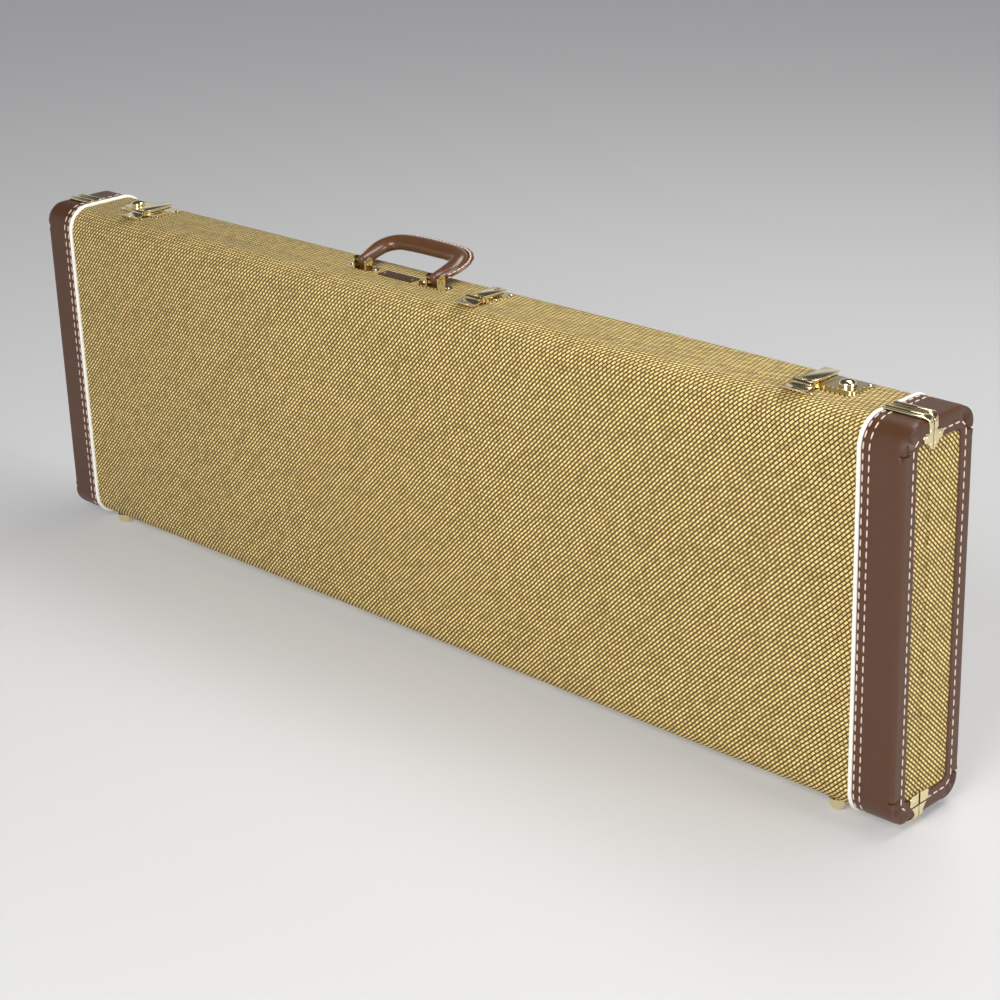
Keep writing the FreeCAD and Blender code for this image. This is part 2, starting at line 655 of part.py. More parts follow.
def latch_pins_and_rivets():
    """Barrel pins of the three latches, and the rivets of their plates."""
    pins = []
    for x in (-OUTER_LATCH_X, CENTRE_LATCH_X, OUTER_LATCH_X):
        start = (x - BARREL_LENGTH / 2, BARREL_Y, BARREL_Z)
        pins.append(rod(start, ALONG_X, LATCH_PIN_RADIUS, BARREL_LENGTH))
    save("latch_pins", group(pins))
    places = []
    for out in (-1, 1):
        x = out * OUTER_LATCH_X
        for offset, y in ((-RIVET_INSET, RIVET_FRONT_Y), (-RIVET_INSET, RIVET_REAR_Y),
                          (RIVET_INSET, RIVET_SIDE_Y), (RIVET_OUTSET, RIVET_SIDE_Y)):
            places.append((x + out * offset, y))
        for y in LOCK_RIVET_Y:
            places.append((CENTRE_LATCH_X + out * LOCK_RIVET_INSET, y))
    save("latch_rivets", group([rivet(x, y, LATCH_TOP) for x, y in places]))


def handle_path():
    """The centre line of the handle, upright above its pivots before it leans back."""
    half = HANDLE_SPACING / 2
    wide = HANDLE_SPAN / 2 - GRIP_RADIUS
    top = HANDLE_Z + HANDLE_REACH
    shoulder_drop, shoulder_out = GRIP_SHOULDER
    bend_drop, bend_in = GRIP_BEND
    right = [(half, HANDLE_Z), (half + 1, HANDLE_Z + GRIP_RISE), (wide + shoulder_out, top - shoulder_drop),
             (wide - bend_in, top - bend_drop), (wide - GRIP_FLAT, top)]
    left = [(-x, z) for x, z in right]
    return [V(HANDLE_X + x, HANDLE_PIVOT_Y, z) for x, z in left + right[::-1]]


def leaned(shape):
    """Turns the handle back about its pivots to where it rests."""
    turned = shape.copy()
    turned.rotate(V(HANDLE_X, HANDLE_PIVOT_Y, HANDLE_Z), ALONG_X, -HANDLE_LEAN)
    return turned


def grip_body(points, radii):
    """Tapered tubes and balls along a line, each ball as thick as the tubes that meet in it."""
    pieces = []
    for number in range(len(points) - 1):
        span = points[number + 1] - points[number]
        r0 = radii[number]
        r1 = radii[number + 1]
        if abs(r0 - r1) < TINY:
            pieces.append(Part.makeCylinder(r0, span.Length, points[number], span))
        else:
            pieces.append(Part.makeCone(r0, r1, span.Length, points[number], span))
    for point, radius in list(zip(points, radii))[1:-1]:
        pieces.append(Part.makeSphere(radius, point))
    return pieces


def grip():
    """The padded leather grip, bored at its ends and cut flat where it stands between the ears."""
    points = handle_path()
    thin = HANDLE_END_RADIUS
    half_line = [thin, thin + 0.5, GRIP_RADIUS - 1, GRIP_RADIUS, GRIP_RADIUS]
    pieces = grip_body(points, half_line + half_line[::-1])
    ends = (points[0], points[-1])
    for end in ends:
        pieces.append(rod((end.x - GRIP_END_HALF, end.y, end.z), ALONG_X, thin, 2 * GRIP_END_HALF))
    whole = fuse(pieces)
    for end in ends:
        whole = whole.cut(rod((end.x - EAR_GAP, end.y, end.z), ALONG_X, BUSH_RADIUS, 2 * EAR_GAP))
        for side in (-1, 1):
            x0, x1 = sorted((end.x + side * GRIP_END_HALF, end.x + side * (GRIP_END_HALF + HANDLE_REACH)))
            whole = whole.cut(box((x0, end.y - GRIP_CHEEK, end.z - GRIP_CHEEK),
                                  (x1, end.y + GRIP_CHEEK, end.z + GRIP_CHEEK_TOP)))
    return whole


def handle_mount(x):
    """A pointed plate with two ears for the handle's pin."""
    length, wide, thick = HANDLE_PLATE
    z = CLOTH_TOP
    y = HANDLE_PIVOT_Y
    straight = length / 2 - HANDLE_PLATE_POINT
    outline = [V(x - length / 2, y, z), V(x - straight, y - wide / 2, z), V(x + straight, y - wide / 2, z),
               V(x + length / 2, y, z), V(x + straight, y + wide / 2, z), V(x - straight, y + wide / 2, z)]
    flat = Part.Face(Part.makePolygon(outline + outline[:1])).extrude(V(0, 0, thick))
    corners = [e for e in flat.Edges if e.BoundBox.ZLength > thick - TINY and e.BoundBox.XLength < TINY]
    pieces = [flat.makeFillet(HANDLE_PLATE_CORNER, corners)]
    for side in (-1, 1):
        x0, x1 = sorted((x + side * EAR_GAP / 2, x + side * (EAR_GAP / 2 + EAR_THICK)))
        pieces.append(box((x0, y - EAR_RADIUS, z), (x1, y + EAR_RADIUS, HANDLE_Z)))
        pieces.append(rod((x0, y, HANDLE_Z), ALONG_X, EAR_RADIUS, x1 - x0))
    return fuse(pieces).cut(rod((x - EAR_GAP, y, HANDLE_Z), ALONG_X, BUSH_BORE, 2 * EAR_GAP))


def handle_bush(x):
    """The tube that lines the grip's end and turns on the handle's pin."""
    tube = rod((x - BUSH_HALF, HANDLE_PIVOT_Y, HANDLE_Z), ALONG_X, BUSH_RADIUS, 2 * BUSH_HALF)
    bore = rod((x - EAR_GAP, HANDLE_PIVOT_Y, HANDLE_Z), ALONG_X, BUSH_BORE, 2 * EAR_GAP)
    return tube.cut(bore)


def handle():
    """Mounts, pins and rivets on the case, and the leaning grip with its metal bushes."""
    places = [HANDLE_X - HANDLE_SPACING / 2, HANDLE_X + HANDLE_SPACING / 2]
    reach = EAR_GAP / 2 + EAR_THICK + HANDLE_PIN_HEAD
    plate_top = CLOTH_TOP + HANDLE_PLATE[2]
    save("handle_mounts", group([handle_mount(x) for x in places]))
    pins = [rod((x - reach, HANDLE_PIVOT_Y, HANDLE_Z), ALONG_X, HANDLE_PIN_RADIUS, 2 * reach) for x in places]
    save("handle_pins", group(pins))
    save("handle_rivets", group([rivet(x + side * HANDLE_RIVET_X, HANDLE_PIVOT_Y, plate_top)
                                 for x in places for side in (-1, 1)]))
    save("handle_grip", leaned(grip()))
    save("handle_bushes", group([handle_bush(x) for x in places]))


def nameplate():
    """A plain blank plate between the handle's mounts, with two tiny pins."""
    half_length, half_width = BADGE_HALF
    top = CLOTH_TOP + BADGE_SHEET
    low = (HANDLE_X - half_length, -half_width, CLOTH_TOP)
    save("blank_badge", plate(low, (HANDLE_X + half_length, half_width, top), BADGE_CORNER))
    pins = []
    for side in (-1, 1):
        x = HANDLE_X + side * BADGE_PIN_X
        pins.append(rivet(x, 0, top).common(rod((x, 0, CLOTH_TOP), ALONG_Z, BADGE_PIN_RADIUS, LEVER_HEIGHT)))
    save("badge_pins", group(pins))


def across(x0, x1, z0, z1):
    """A block of padding as deep as the base, between x and z limits."""
    return box((x0, PAD_TOP_Y, z0), (x1, LINED_BACK, z1))


def disc(x, radius):
    """A round hole through the padding, centred on the instrument's line."""
    return rod((x, -BIG / 2, MIDDLE_Z), ALONG_Y, radius, BIG)


def bay():
    """The space for the instrument: tail and shoulder circles, waist, neck channel and head bay."""
    waist = across(BAY_TAIL[0], BAY_SHOULDER[0], MIDDLE_Z - BAY_WAIST, MIDDLE_Z + BAY_WAIST)
    channel_end = PAD_END + CHANNEL_LAP
    channel = across(BAY_SHOULDER[0], channel_end, MIDDLE_Z - CHANNEL_HALF, MIDDLE_Z + CHANNEL_HALF)
    head = across(HEAD_BAY[0], HEAD_BAY[1], MIDDLE_Z - HEAD_BAY[2], MIDDLE_Z + HEAD_BAY[2])
    deep = [disc(*BAY_TAIL), disc(*BAY_SHOULDER)]
    for piece in (waist, channel, head):
        b = piece.BoundBox
        deep.append(box((b.XMin, -BIG / 2, b.ZMin), (b.XMax, BIG / 2, b.ZMax)))
    return fuse(deep)


def pads():
    """Plush-covered foam round the instrument."""
    space = bay()
    room = bar(-BIG / 2, BIG / 2, CLOTH + PLYWOOD + BASE_LINING)
    split_z = MIDDLE_Z
    blocks = {
        "body_pad_upper": across(-PAD_END, BODY_PAD_END, split_z, PAD_TOP),
        "body_pad_lower": across(-PAD_END, BODY_PAD_END, PAD_BOTTOM, split_z),
        "neck_pad_lower": across(BODY_PAD_END + PAD_GAP, PAD_END, PAD_BOTTOM, split_z),
        "head_pad_upper": across(POCKET_X[1] + PAD_GAP, PAD_END, split_z, PAD_TOP),
    }
    for name, block in blocks.items():
        save(name, block.cut(space).common(room))


def neck_rests():
    """Saddle blocks in the neck channel."""
    z0 = MIDDLE_Z - CHANNEL_HALF + PAD_SLACK
    z1 = MIDDLE_Z + CHANNEL_HALF - PAD_SLACK
    rests = []
    for x0 in REST_PLACES:
        block = box((x0, REST_TOP_Y, z0), (x0 + REST_LENGTH, LINED_BACK, z1))
        axis_y = REST_TOP_Y + REST_DIP - REST_SADDLE
        saddle_start = (x0 - OVERCUT, axis_y, MIDDLE_Z)
        saddle = rod(saddle_start, ALONG_X, REST_SADDLE, REST_LENGTH + 2 * OVERCUT)
        rests.append(block.cut(saddle))
    save("neck_rests", group(rests))


def pocket():
    """The accessory box beside the neck, its hinged lid and its pull."""
    x0, x1 = POCKET_X
    z0 = MIDDLE_Z + CHANNEL_HALF
    z1 = PAD_TOP
    t = POCKET_WALL
    lining = CLOTH + PLYWOOD + BASE_LINING
    outer = box((x0, POCKET_TOP_Y, z0), (x1, LINED_BACK, z1)).common(bar(-BIG / 2, BIG / 2, lining))
    inner = box((x0 + t, POCKET_TOP_Y - OVERCUT, z0 + t), (x1 - t, LINED_BACK - t, z1 - t))
    save("pocket_box", outer.cut(inner.common(bar(-BIG / 2, BIG / 2, lining + t))))
    lid_back = POCKET_TOP_Y - RUN
    lid_front = lid_back - POCKET_LID
    board_x0 = x0 + POCKET_MARGIN
    board_x1 = x1 - POCKET_MARGIN
    board_z1 = z1 - POCKET_HINGE_WIDTH
    save("pocket_lid", box((board_x0, lid_front, z0 + POCKET_MARGIN), (board_x1, lid_back, board_z1)))
    middle = (x0 + x1) / 2
    tab_low = (middle - PULL_HALF, lid_front - PULL_THICK, z0 - PULL_OVERHANG)
    save("pocket_pull", box(tab_low, (middle + PULL_HALF, lid_front, z0 + PULL_LAP)))
    cloth_low = (board_x0, lid_front - POCKET_HINGE_CLOTH, board_z1 + POCKET_HINGE_LAP)
    save("pocket_hinge", box(cloth_low, (board_x1, POCKET_TOP_Y, z1)))


def cushions():
    """The floor cushion of the body bay and the quilted cushion on the lid."""
    low = LINED_BACK - CUSHION_THICK
    half = BAY_WAIST - CUSHION_INSET
    waist = box((BAY_TAIL[0], low, MIDDLE_Z - half), (BAY_SHOULDER[0], LINED_BACK, MIDDLE_Z + half))
    rounds = [rod((x, low, MIDDLE_Z), ALONG_Y, radius - CUSHION_INSET, CUSHION_THICK)
              for x, radius in (BAY_TAIL, BAY_SHOULDER)]
    save("bay_cushion", fuse([waist] + rounds))
    lid_face = -(HALF_DEPTH - CLOTH - PLYWOOD - LID_LINING)
    x0, x1 = LID_CUSHION_X
    quilt = box((x0, lid_face, MIDDLE_Z - LID_CUSHION_HALF), (x1, lid_face + CUSHION_THICK,
                                                              MIDDLE_Z + LID_CUSHION_HALF))
    save("lid_cushion", quilt)


def main():
    """Builds every node of the case."""
    os.makedirs("parts", exist_ok=True)
    shells()
    linings()
    cloth_covers()
    bindings()
    pipings()
    valance()
    hinges()
    feet()
    end_clamps()
    catches()
    outer_latches()
    centre_latch()
    latch_pins_and_rivets()
    handle()
    nameplate()
    pads()
    neck_rests()
    pocket()
    cushions()


main()
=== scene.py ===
"""Looks of a tweed-covered hard case for a bass guitar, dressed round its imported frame.

X runs along the case, +Y to its back, +Z up, in metres. Every finished piece sits at the origin with its
place in its mesh. Each sub-assembly is a class that builds its own meshes, dresses them and names its body.
"""
import json
import logging
import math
from contextlib import contextmanager
from dataclasses import dataclass
from enum import Enum
from typing import Callable, Iterator, Optional, Sequence, Union

import bmesh
import bpy
from mathutils import Matrix, Vector


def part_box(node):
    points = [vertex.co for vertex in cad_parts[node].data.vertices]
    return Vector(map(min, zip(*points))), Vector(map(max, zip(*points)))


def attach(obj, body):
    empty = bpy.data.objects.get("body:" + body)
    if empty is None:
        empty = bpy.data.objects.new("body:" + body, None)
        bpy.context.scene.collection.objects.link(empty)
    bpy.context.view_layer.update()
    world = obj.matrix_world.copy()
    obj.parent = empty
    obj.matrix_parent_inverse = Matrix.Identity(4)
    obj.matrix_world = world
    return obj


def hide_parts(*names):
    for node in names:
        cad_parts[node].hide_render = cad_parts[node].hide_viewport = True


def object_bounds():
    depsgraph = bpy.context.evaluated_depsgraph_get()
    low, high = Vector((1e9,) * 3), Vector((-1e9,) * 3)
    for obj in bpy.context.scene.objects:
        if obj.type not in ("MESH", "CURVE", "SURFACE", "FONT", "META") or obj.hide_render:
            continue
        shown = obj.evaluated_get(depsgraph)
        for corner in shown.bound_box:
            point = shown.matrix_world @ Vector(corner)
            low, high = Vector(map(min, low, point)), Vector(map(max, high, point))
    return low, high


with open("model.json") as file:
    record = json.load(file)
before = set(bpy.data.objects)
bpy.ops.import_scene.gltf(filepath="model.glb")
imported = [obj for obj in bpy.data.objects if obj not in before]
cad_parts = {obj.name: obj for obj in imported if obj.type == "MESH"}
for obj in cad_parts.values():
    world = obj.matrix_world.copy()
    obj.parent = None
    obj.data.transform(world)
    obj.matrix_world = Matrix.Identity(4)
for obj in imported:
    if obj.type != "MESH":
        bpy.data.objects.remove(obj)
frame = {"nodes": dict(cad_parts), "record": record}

CAD_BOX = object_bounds()
log = logging.getLogger("case")

MM = 0.001
TINY = 1e-5
Piece = bpy.types.Object
Socket = bpy.types.NodeSocket
Value = Union[float, Socket]
Colour = tuple[float, float, float]
Pairs = tuple[tuple[float, float], ...]
Material = bpy.types.Material
Node = bpy.types.Node
Tree = bpy.types.NodeTree


class Half(Enum):
    """The two halves of the case, named as their bodies are."""

    BASE = "base"
    LID = "lid"


class Slot(Enum):
    """The record's material slots."""

    PLYWOOD = "plywood"
    PLUSH = "plush"
    TWEED = "tweed"
    LEATHER = "brown_leather"
    PULL = "pull_leather"
    PIPING = "white_piping"
    BADGE = "badge_enamel"
    GOLD = "plated_gold"


# ---- bench work


class Bench:
    """Hand work on one mesh at a time, with Blender's operators."""

    @staticmethod
    def clear() -> None:
        """Deselects every object."""
        bpy.ops.object.select_all(action="DESELECT")

    @staticmethod
    def take(piece: Piece) -> None:
        """Makes a piece the only selected and the active one.

        Args:
            piece: the piece worked on.
        """
        Bench.clear()
        piece.select_set(True)
        bpy.context.view_layer.objects.active = piece

    @staticmethod
    @contextmanager
    def editing(piece: Piece) -> Iterator[None]:
        """Holds a piece in edit mode with nothing selected.

        Args:
            piece: the piece worked on.

        Returns:
            Nothing, while the piece is in edit mode.
        """
        Bench.take(piece)
        bpy.ops.object.mode_set(mode="EDIT")
        bpy.ops.mesh.select_all(action="DESELECT")
        yield
        bpy.ops.object.mode_set(mode="OBJECT")

    @staticmethod
    def pick(piece: Piece, kind: str, test: Callable) -> int:
        """Selects the parts of a mesh that pass a test, in edit mode.

        Args:
            piece: the piece being edited.
            kind: VERT, EDGE or FACE.
            test: says whether a vertex, edge or face is wanted.

        Returns:
            How many were selected.
        """
        bpy.ops.mesh.select_mode(type=kind)
        bpy.ops.mesh.select_all(action="DESELECT")
        mesh = bmesh.from_edit_mesh(piece.data)
        parts = {"VERT": mesh.verts, "EDGE": mesh.edges, "FACE": mesh.faces}[kind]
        found = [part for part in parts if test(part)]
        for part in found:
            part.select_set(True)
        mesh.select_flush_mode()
        bmesh.update_edit_mesh(piece.data)
        return len(found)

    @staticmethod
    def pick_all() -> None:
        """Selects the whole mesh, in edit mode."""
        bpy.ops.mesh.select_all(action="SELECT")

    @staticmethod
    def extrude(run: Sequence[float]) -> None:
        """Draws the selection out along a run, in edit mode."""
        bpy.ops.mesh.extrude_region_move(TRANSFORM_OT_translate={"value": run})

    @staticmethod
    def turn_outwards() -> None:
        """Makes the whole mesh's normals point outwards, in edit mode."""
        Bench.pick_all()
        bpy.ops.mesh.normals_make_consistent(inside=False)

    @staticmethod
    def settle(piece: Piece, name: str) -> Piece:
        """Puts a piece's place, turn and scale into its mesh, and names it.

        Args:
            piece: the piece worked on.
            name: the name it gets.

        Returns:
            The piece.
        """
        Bench.take(piece)
        bpy.ops.object.transform_apply(location=True, rotation=True, scale=True)
        piece.name = name
        piece.data.name = name
        return piece

    @staticmethod
    def block(name: str, low: Sequence[float], high: Sequence[float]) -> Piece:
        """A block between two opposite corners.

        Args:
            name: the name it gets.
            low: its lowest corner.
            high: its highest corner.

        Returns:
            The piece.
        """
        Bench.clear()
        bpy.ops.mesh.primitive_cube_add(size=1, location=(Vector(low) + Vector(high)) / 2)
        piece = bpy.context.active_object
        piece.scale = Vector(high) - Vector(low)
        return Bench.settle(piece, name)

    @staticmethod
    def rod(name: str, start: Sequence[float], end: Sequence[float], radius: float, sides: int = 24) -> Piece:
        """A round bar between two points.

        Args:
            name: the name it gets.
            start: the middle of its first end.
            end: the middle of its last end.
            radius: its radius.
            sides: how many sides it has.

        Returns:
            The piece.
        """
        along = Vector(end) - Vector(start)
        Bench.clear()
        bpy.ops.mesh.primitive_cylinder_add(
            vertices=sides, radius=radius, depth=along.length, location=(Vector(start) + Vector(end)) / 2,
            rotation=along.to_track_quat("Z", "Y").to_euler())
        return Bench.settle(bpy.context.active_object, name)

    @staticmethod
    def prism(name: str, outline: Sequence[Sequence[float]], run: Sequence[float]) -> Piece:
        """A flat outline drawn out along a run.

        Args:
            name: the piece's name.
            outline: the corners of the flat face, in order.
            run: how far and which way the face is extruded.

        Returns:
            A closed solid with its normals outwards.
        """
        Bench.clear()
        bpy.ops.mesh.primitive_circle_add(vertices=len(outline), radius=1, fill_type="NGON")
        piece = bpy.context.active_object
        for vertex, corner in zip(piece.data.vertices, outline):
            vertex.co = corner
        Bench.settle(piece, name)
        with Bench.editing(piece):
            Bench.pick_all()
            Bench.extrude(run)
            Bench.turn_outwards()
        return piece

    @staticmethod
    def finish(piece: Piece, kind: str, **settings: object) -> Piece:
        """Adds one modifier to a piece and applies it.

        Args:
            piece: the piece worked on.
            kind: the modifier's type.
            settings: the options set on it.

        Returns:
            The piece.
        """
        modifier = piece.modifiers.new(kind, kind)
        for key, value in settings.items():
            setattr(modifier, key, value)
        Bench.take(piece)
        bpy.ops.object.modifier_apply(modifier=modifier.name)
        return piece

    @staticmethod
    def soften_edges(piece: Piece, width: float, steps: int = 2, angle: float = 30.0) -> Piece:
        """Rounds a piece's hard edges by a small width.

        Args:
            piece: the piece worked on.
            width: how wide the rounding is.
            steps: how many segments the rounding has.
            angle: edges sharper than this many degrees count.

        Returns:
            The piece.
        """
        Bench.finish(piece, "BEVEL", width=width, segments=steps, limit_method="ANGLE",
                     angle_limit=math.radians(angle), harden_normals=False)
        return Bench.smooth(piece)

    @staticmethod
    def smooth(piece: Piece, angle: float = 35.0) -> Piece:
        """Shades a piece smooth, except at edges sharper than an angle.

        Args:
            piece: the piece worked on.
            angle: edges sharper than this many degrees count.

        Returns:
            The piece.
        """
        Bench.take(piece)
        bpy.ops.object.shade_smooth_by_angle(angle=math.radians(angle))
        return piece

    @staticmethod
    def join(pieces: Sequence[Piece], name: str) -> Piece:
        """Makes one piece of several.

        Args:
            pieces: the pieces, the first of which is kept.
            name: the name it gets.

        Returns:
            The piece.
        """
        Bench.take(pieces[0])
        for piece in pieces:
            piece.select_set(True)
        if len(pieces) > 1:
            bpy.ops.object.join()
        pieces[0].name = name
        pieces[0].data.name = name
        return pieces[0]

    @staticmethod
    def copy(piece: Piece, name: str, matrix: Optional[Matrix] = None) -> Piece:
        """A copy with its own mesh, moved by a matrix, its normals kept outwards.

        Args:
            piece: the piece worked on.
            name: the name it gets.
            matrix: where the copy goes.

        Returns:
            The piece.
        """
        twin = piece.copy()
        twin.data = piece.data.copy()
        twin.name = name
        twin.data.name = name
        bpy.context.scene.collection.objects.link(twin)
        if matrix is not None:
            twin.data.transform(matrix)
            if matrix.determinant() < 0:
                twin.data.flip_normals()
        return twin

    @staticmethod
    def face_outwards(piece: Piece) -> None:
        """Turns an open sheet round if its top looks down.

        Args:
            piece: the piece worked on.
        """
        top = max(piece.data.polygons, key=lambda polygon: polygon.center.z)
        if top.normal.z < 0:
            piece.data.flip_normals()

    @staticmethod
    def mirrored(piece: Piece, name: str) -> Piece:
        """The same piece at the other end of the case."""
        return Bench.copy(piece, name, Matrix.Scale(-1, 4, (1, 0, 0)))

    @staticmethod
    def cut_away(piece: Piece, point: Sequence[float], normal: Sequence[float], fill: bool = False) -> Piece:
        """Removes what lies on the side of a plane that its normal points to.

        Args:
            piece: the piece worked on.
            point: a point of the plane.
            normal: the plane's normal.
            fill: whether the cut is closed.

        Returns:
            The piece.
        """
        with Bench.editing(piece):
            Bench.pick_all()
            bpy.ops.mesh.bisect(plane_co=point, plane_no=normal, use_fill=fill, clear_outer=True)
        return piece

    @staticmethod
    def carve(piece: Piece, tool: Piece, operation: str = "DIFFERENCE") -> Piece:
        """Takes a tool's shape out of a piece, or joins it on, and throws the tool away.

        Args:
            piece: the piece worked on.
            tool: the piece that cuts.
            operation: the boolean operation.

        Returns:
            The piece.
        """
        Bench.finish(piece, "BOOLEAN", object=tool, operation=operation, solver="EXACT")
        bpy.data.objects.remove(tool)
        return piece

    @staticmethod
    def from_node(node: str, name: str) -> Piece:
        """A merged copy of a CAD node's mesh, free to be worked on.

        Args:
            node: the node's name.
            name: the name it gets.

        Returns:
            The piece.
        """
        source = frame["nodes"][node]
        piece = bpy.data.objects.new(name, source.data.copy())
        piece.data.name = name
        piece.data.materials.clear()
        bpy.context.scene.collection.objects.link(piece)
        with Bench.editing(piece):
            Bench.pick_all()
            bpy.ops.mesh.remove_doubles(threshold=TINY)
            bpy.ops.mesh.customdata_custom_splitnormals_clear()
        return piece


def split_of(half: Half, part: str = "_tweed") -> tuple[float, int]:
    """Where the cut edge of a half's part lies in Y, and which way the other half is."""
    low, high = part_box(half.value + part)
    return (high.y, 1) if half is Half.LID else (low.y, -1)


def move_points(piece: Piece, rule: Callable[[Vector], Vector]) -> None:
    """Moves each point of a mesh to where a rule puts it.

    Args:
        piece: the piece worked on.
        rule: gives a point its new place.
    """
    for vertex in piece.data.vertices:
        vertex.co = rule(vertex.co)
    piece.data.update()


def dress(piece: Piece, material: Material, body: str, slot: Slot, *nodes: str) -> Piece:
    """Gives a piece its finish and its body, and hides the CAD nodes it stands for.

    Args:
        piece: the piece worked on.
        material: its finish.
        body: the body it rides on.
        slot: not used.
        nodes: the CAD nodes it stands for.

    Returns:
        The piece.
    """
    piece.data.materials.clear()
    piece.data.materials.append(material)
    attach(piece, body)
    if nodes:
        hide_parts(*nodes)
    log.info("%s rides on %s", piece.name, body)
    return piece


# ---- node work


def linear(red: int, green: int, blue: int) -> Colour:
    """A screen colour from 0 to 255 as the linear colour that shaders take.

    Args:
        red: red, 0 to 255.
        green: green, 0 to 255.
        blue: blue, 0 to 255.

    Returns:
        The linear colour.
    """
    def channel(value: int) -> float:
        share = value / 255
        return share / 12.92 if share <= 0.04045 else ((share + 0.055) / 1.055) ** 2.4
    return channel(red), channel(green), channel(blue)


class Graph:
    """A node tree that is wired up in short calls."""

    def __init__(self, tree: Tree) -> None:
        """Takes the tree to build in."""
        self.tree = tree

    def add(self, kind: str, **settings: object) -> Node:
        """Adds a node and sets its options.

        Args:
            kind: the node's type.
            settings: the options set on it.

        Returns:
            The node.
        """
        node = self.tree.nodes.new(kind)
        for key, value in settings.items():
            setattr(node, key, value)
        return node

    def feed(self, socket: Socket, value: object) -> None:
        """Links an output to a socket, or sets the socket's plain value.

        Args:
            socket: the input to feed.
            value: the value or output.
        """
        if isinstance(value, bpy.types.NodeSocket):
            self.tree.links.new(value, socket)
        elif isinstance(value, tuple) and len(value) == 3 and socket.type == "RGBA":
            socket.default_value = (*value, 1.0)
        else:
            socket.default_value = value

    def math(self, operation: str, first: Value, second: Value = 0.0, clamp: bool = False) -> Socket:
        """One Math node.

        Args:
            operation: the operation.
            first: the first operand.
            second: the second operand.
            clamp: whether the result is held to 0 to 1.

        Returns:
            The result's output.
        """
        node = self.add("ShaderNodeMath", operation=operation, use_clamp=clamp)
        self.feed(node.inputs[0], first)
        self.feed(node.inputs[1], second)
        return node.outputs[0]

    def times(self, first: Value, second: Value, clamp: bool = False) -> Socket:
        """A product."""
        return self.math("MULTIPLY", first, second, clamp)

    def plus(self, first: Value, second: Value) -> Socket:
        """A sum."""
        return self.math("ADD", first, second)

    def step(self, value: Value, low: float, high: float) -> Socket:
        """A smooth rise from 0 at low to 1 at high.

        Args:
            value: the value or output.
            low: where it starts to rise.
            high: where it reaches 1.

        Returns:
            The result's output.
        """
        node = self.add("ShaderNodeMapRange", interpolation_type="SMOOTHSTEP")
        self.feed(node.inputs["Value"], value)
        node.inputs["From Min"].default_value = low
        node.inputs["From Max"].default_value = high
        return node.outputs["Result"]

    def span(self, value: Value, low: float, high: float) -> Socket:
        """A 0 to 1 value spread over another range.

        Args:
            value: the value or output.
            low: the result at 0.
            high: the result at 1.

        Returns:
            The result's output.
        """
        node = self.add("ShaderNodeMapRange")
        self.feed(node.inputs["Value"], value)
        node.inputs["To Min"].default_value = low
        node.inputs["To Max"].default_value = high
        return node.outputs["Result"]

    def noise(self, place: Socket, scale: float, detail: float = 3.0, rough: float = 0.55) -> Socket:
        """A noise value from 0 to 1.

        Args:
            place: the coordinates or point.
            scale: how fine the noise is.
            detail: how many octaves.
            rough: how strong the fine octaves are.

        Returns:
            The result's output.
        """
        node = self.add("ShaderNodeTexNoise")
        self.feed(node.inputs["Vector"], place)
        node.inputs["Scale"].default_value = scale
        node.inputs["Detail"].default_value = detail
        node.inputs["Roughness"].default_value = rough
        return node.outputs["Fac"]

    def mix(self, share: Value, first: object, second: object, blend: str = "MIX") -> Socket:
        """One colour mixed into another.

        Args:
            share: how much of the second colour.
            first: the first operand.
            second: the second operand.
            blend: how they are blended.

        Returns:
            The result's output.
        """
        node = self.add("ShaderNodeMix", data_type="RGBA", blend_type=blend)
        self.feed(node.inputs["Factor"], share)
        self.feed(node.inputs["A"], first)
        self.feed(node.inputs["B"], second)
        return node.outputs["Result"]

    def stretch(self, place: Socket, scale: Sequence[float], turn: Sequence[float] = (0, 0, 0)) -> Socket:
        """Coordinates scaled and turned.

        Args:
            place: the coordinates or point.
            scale: the stretch along each axis.
            turn: the turn in radians.

        Returns:
            The result's output.
        """
        node = self.add("ShaderNodeMapping")
        self.feed(node.inputs["Vector"], place)
        node.inputs["Scale"].default_value = scale
        node.inputs["Rotation"].default_value = turn
        return node.outputs["Vector"]

    def object_place(self) -> Socket:
        """Object coordinates, which are metres in the case's frame."""
        return self.add("ShaderNodeTexCoord").outputs["Object"]

    def use(self, group: Tree, **values: object) -> Node:
        """Places a node group, with its inputs fed by name (underscores stand for spaces).

        Args:
            group: the group to place.
            values: what feeds each input.

        Returns:
            The node.
        """
        node = self.add("ShaderNodeGroup", node_tree=group)
        for key, value in values.items():
            self.feed(node.inputs[key.replace("_", " ")], value)
        return node


@dataclass
class Effect:
    """A shared shader effect: a node group made once, with named inputs and outputs."""

    name: str
    inputs: dict[str, object]
    outputs: dict[str, str]
    build: Callable[[Graph, Callable[[str], Socket], Callable[[str, Socket], None]], None]
    made: Optional[Tree] = None

    def group(self) -> Tree:
        """The node group, built at its first use.

        Returns:
            The node group.
        """
        if self.made is None:
            tree = bpy.data.node_groups.new(self.name, "ShaderNodeTree")
            for key, value in self.inputs.items():
                kind = "NodeSocketVector" if value is None else "NodeSocketFloat"
                socket = tree.interface.new_socket(name=key, in_out="INPUT", socket_type=kind)
                if value is not None:
                    socket.default_value = value
            for key, kind in self.outputs.items():
                tree.interface.new_socket(name=key, in_out="OUTPUT", socket_type="NodeSocket" + kind)
            graph = Graph(tree)
            source = graph.add("NodeGroupInput")
            sink = graph.add("NodeGroupOutput")
            self.build(graph, lambda key: source.outputs[key],
                       lambda key, value: graph.feed(sink.inputs[key], value))
            self.made = tree
        return self.made


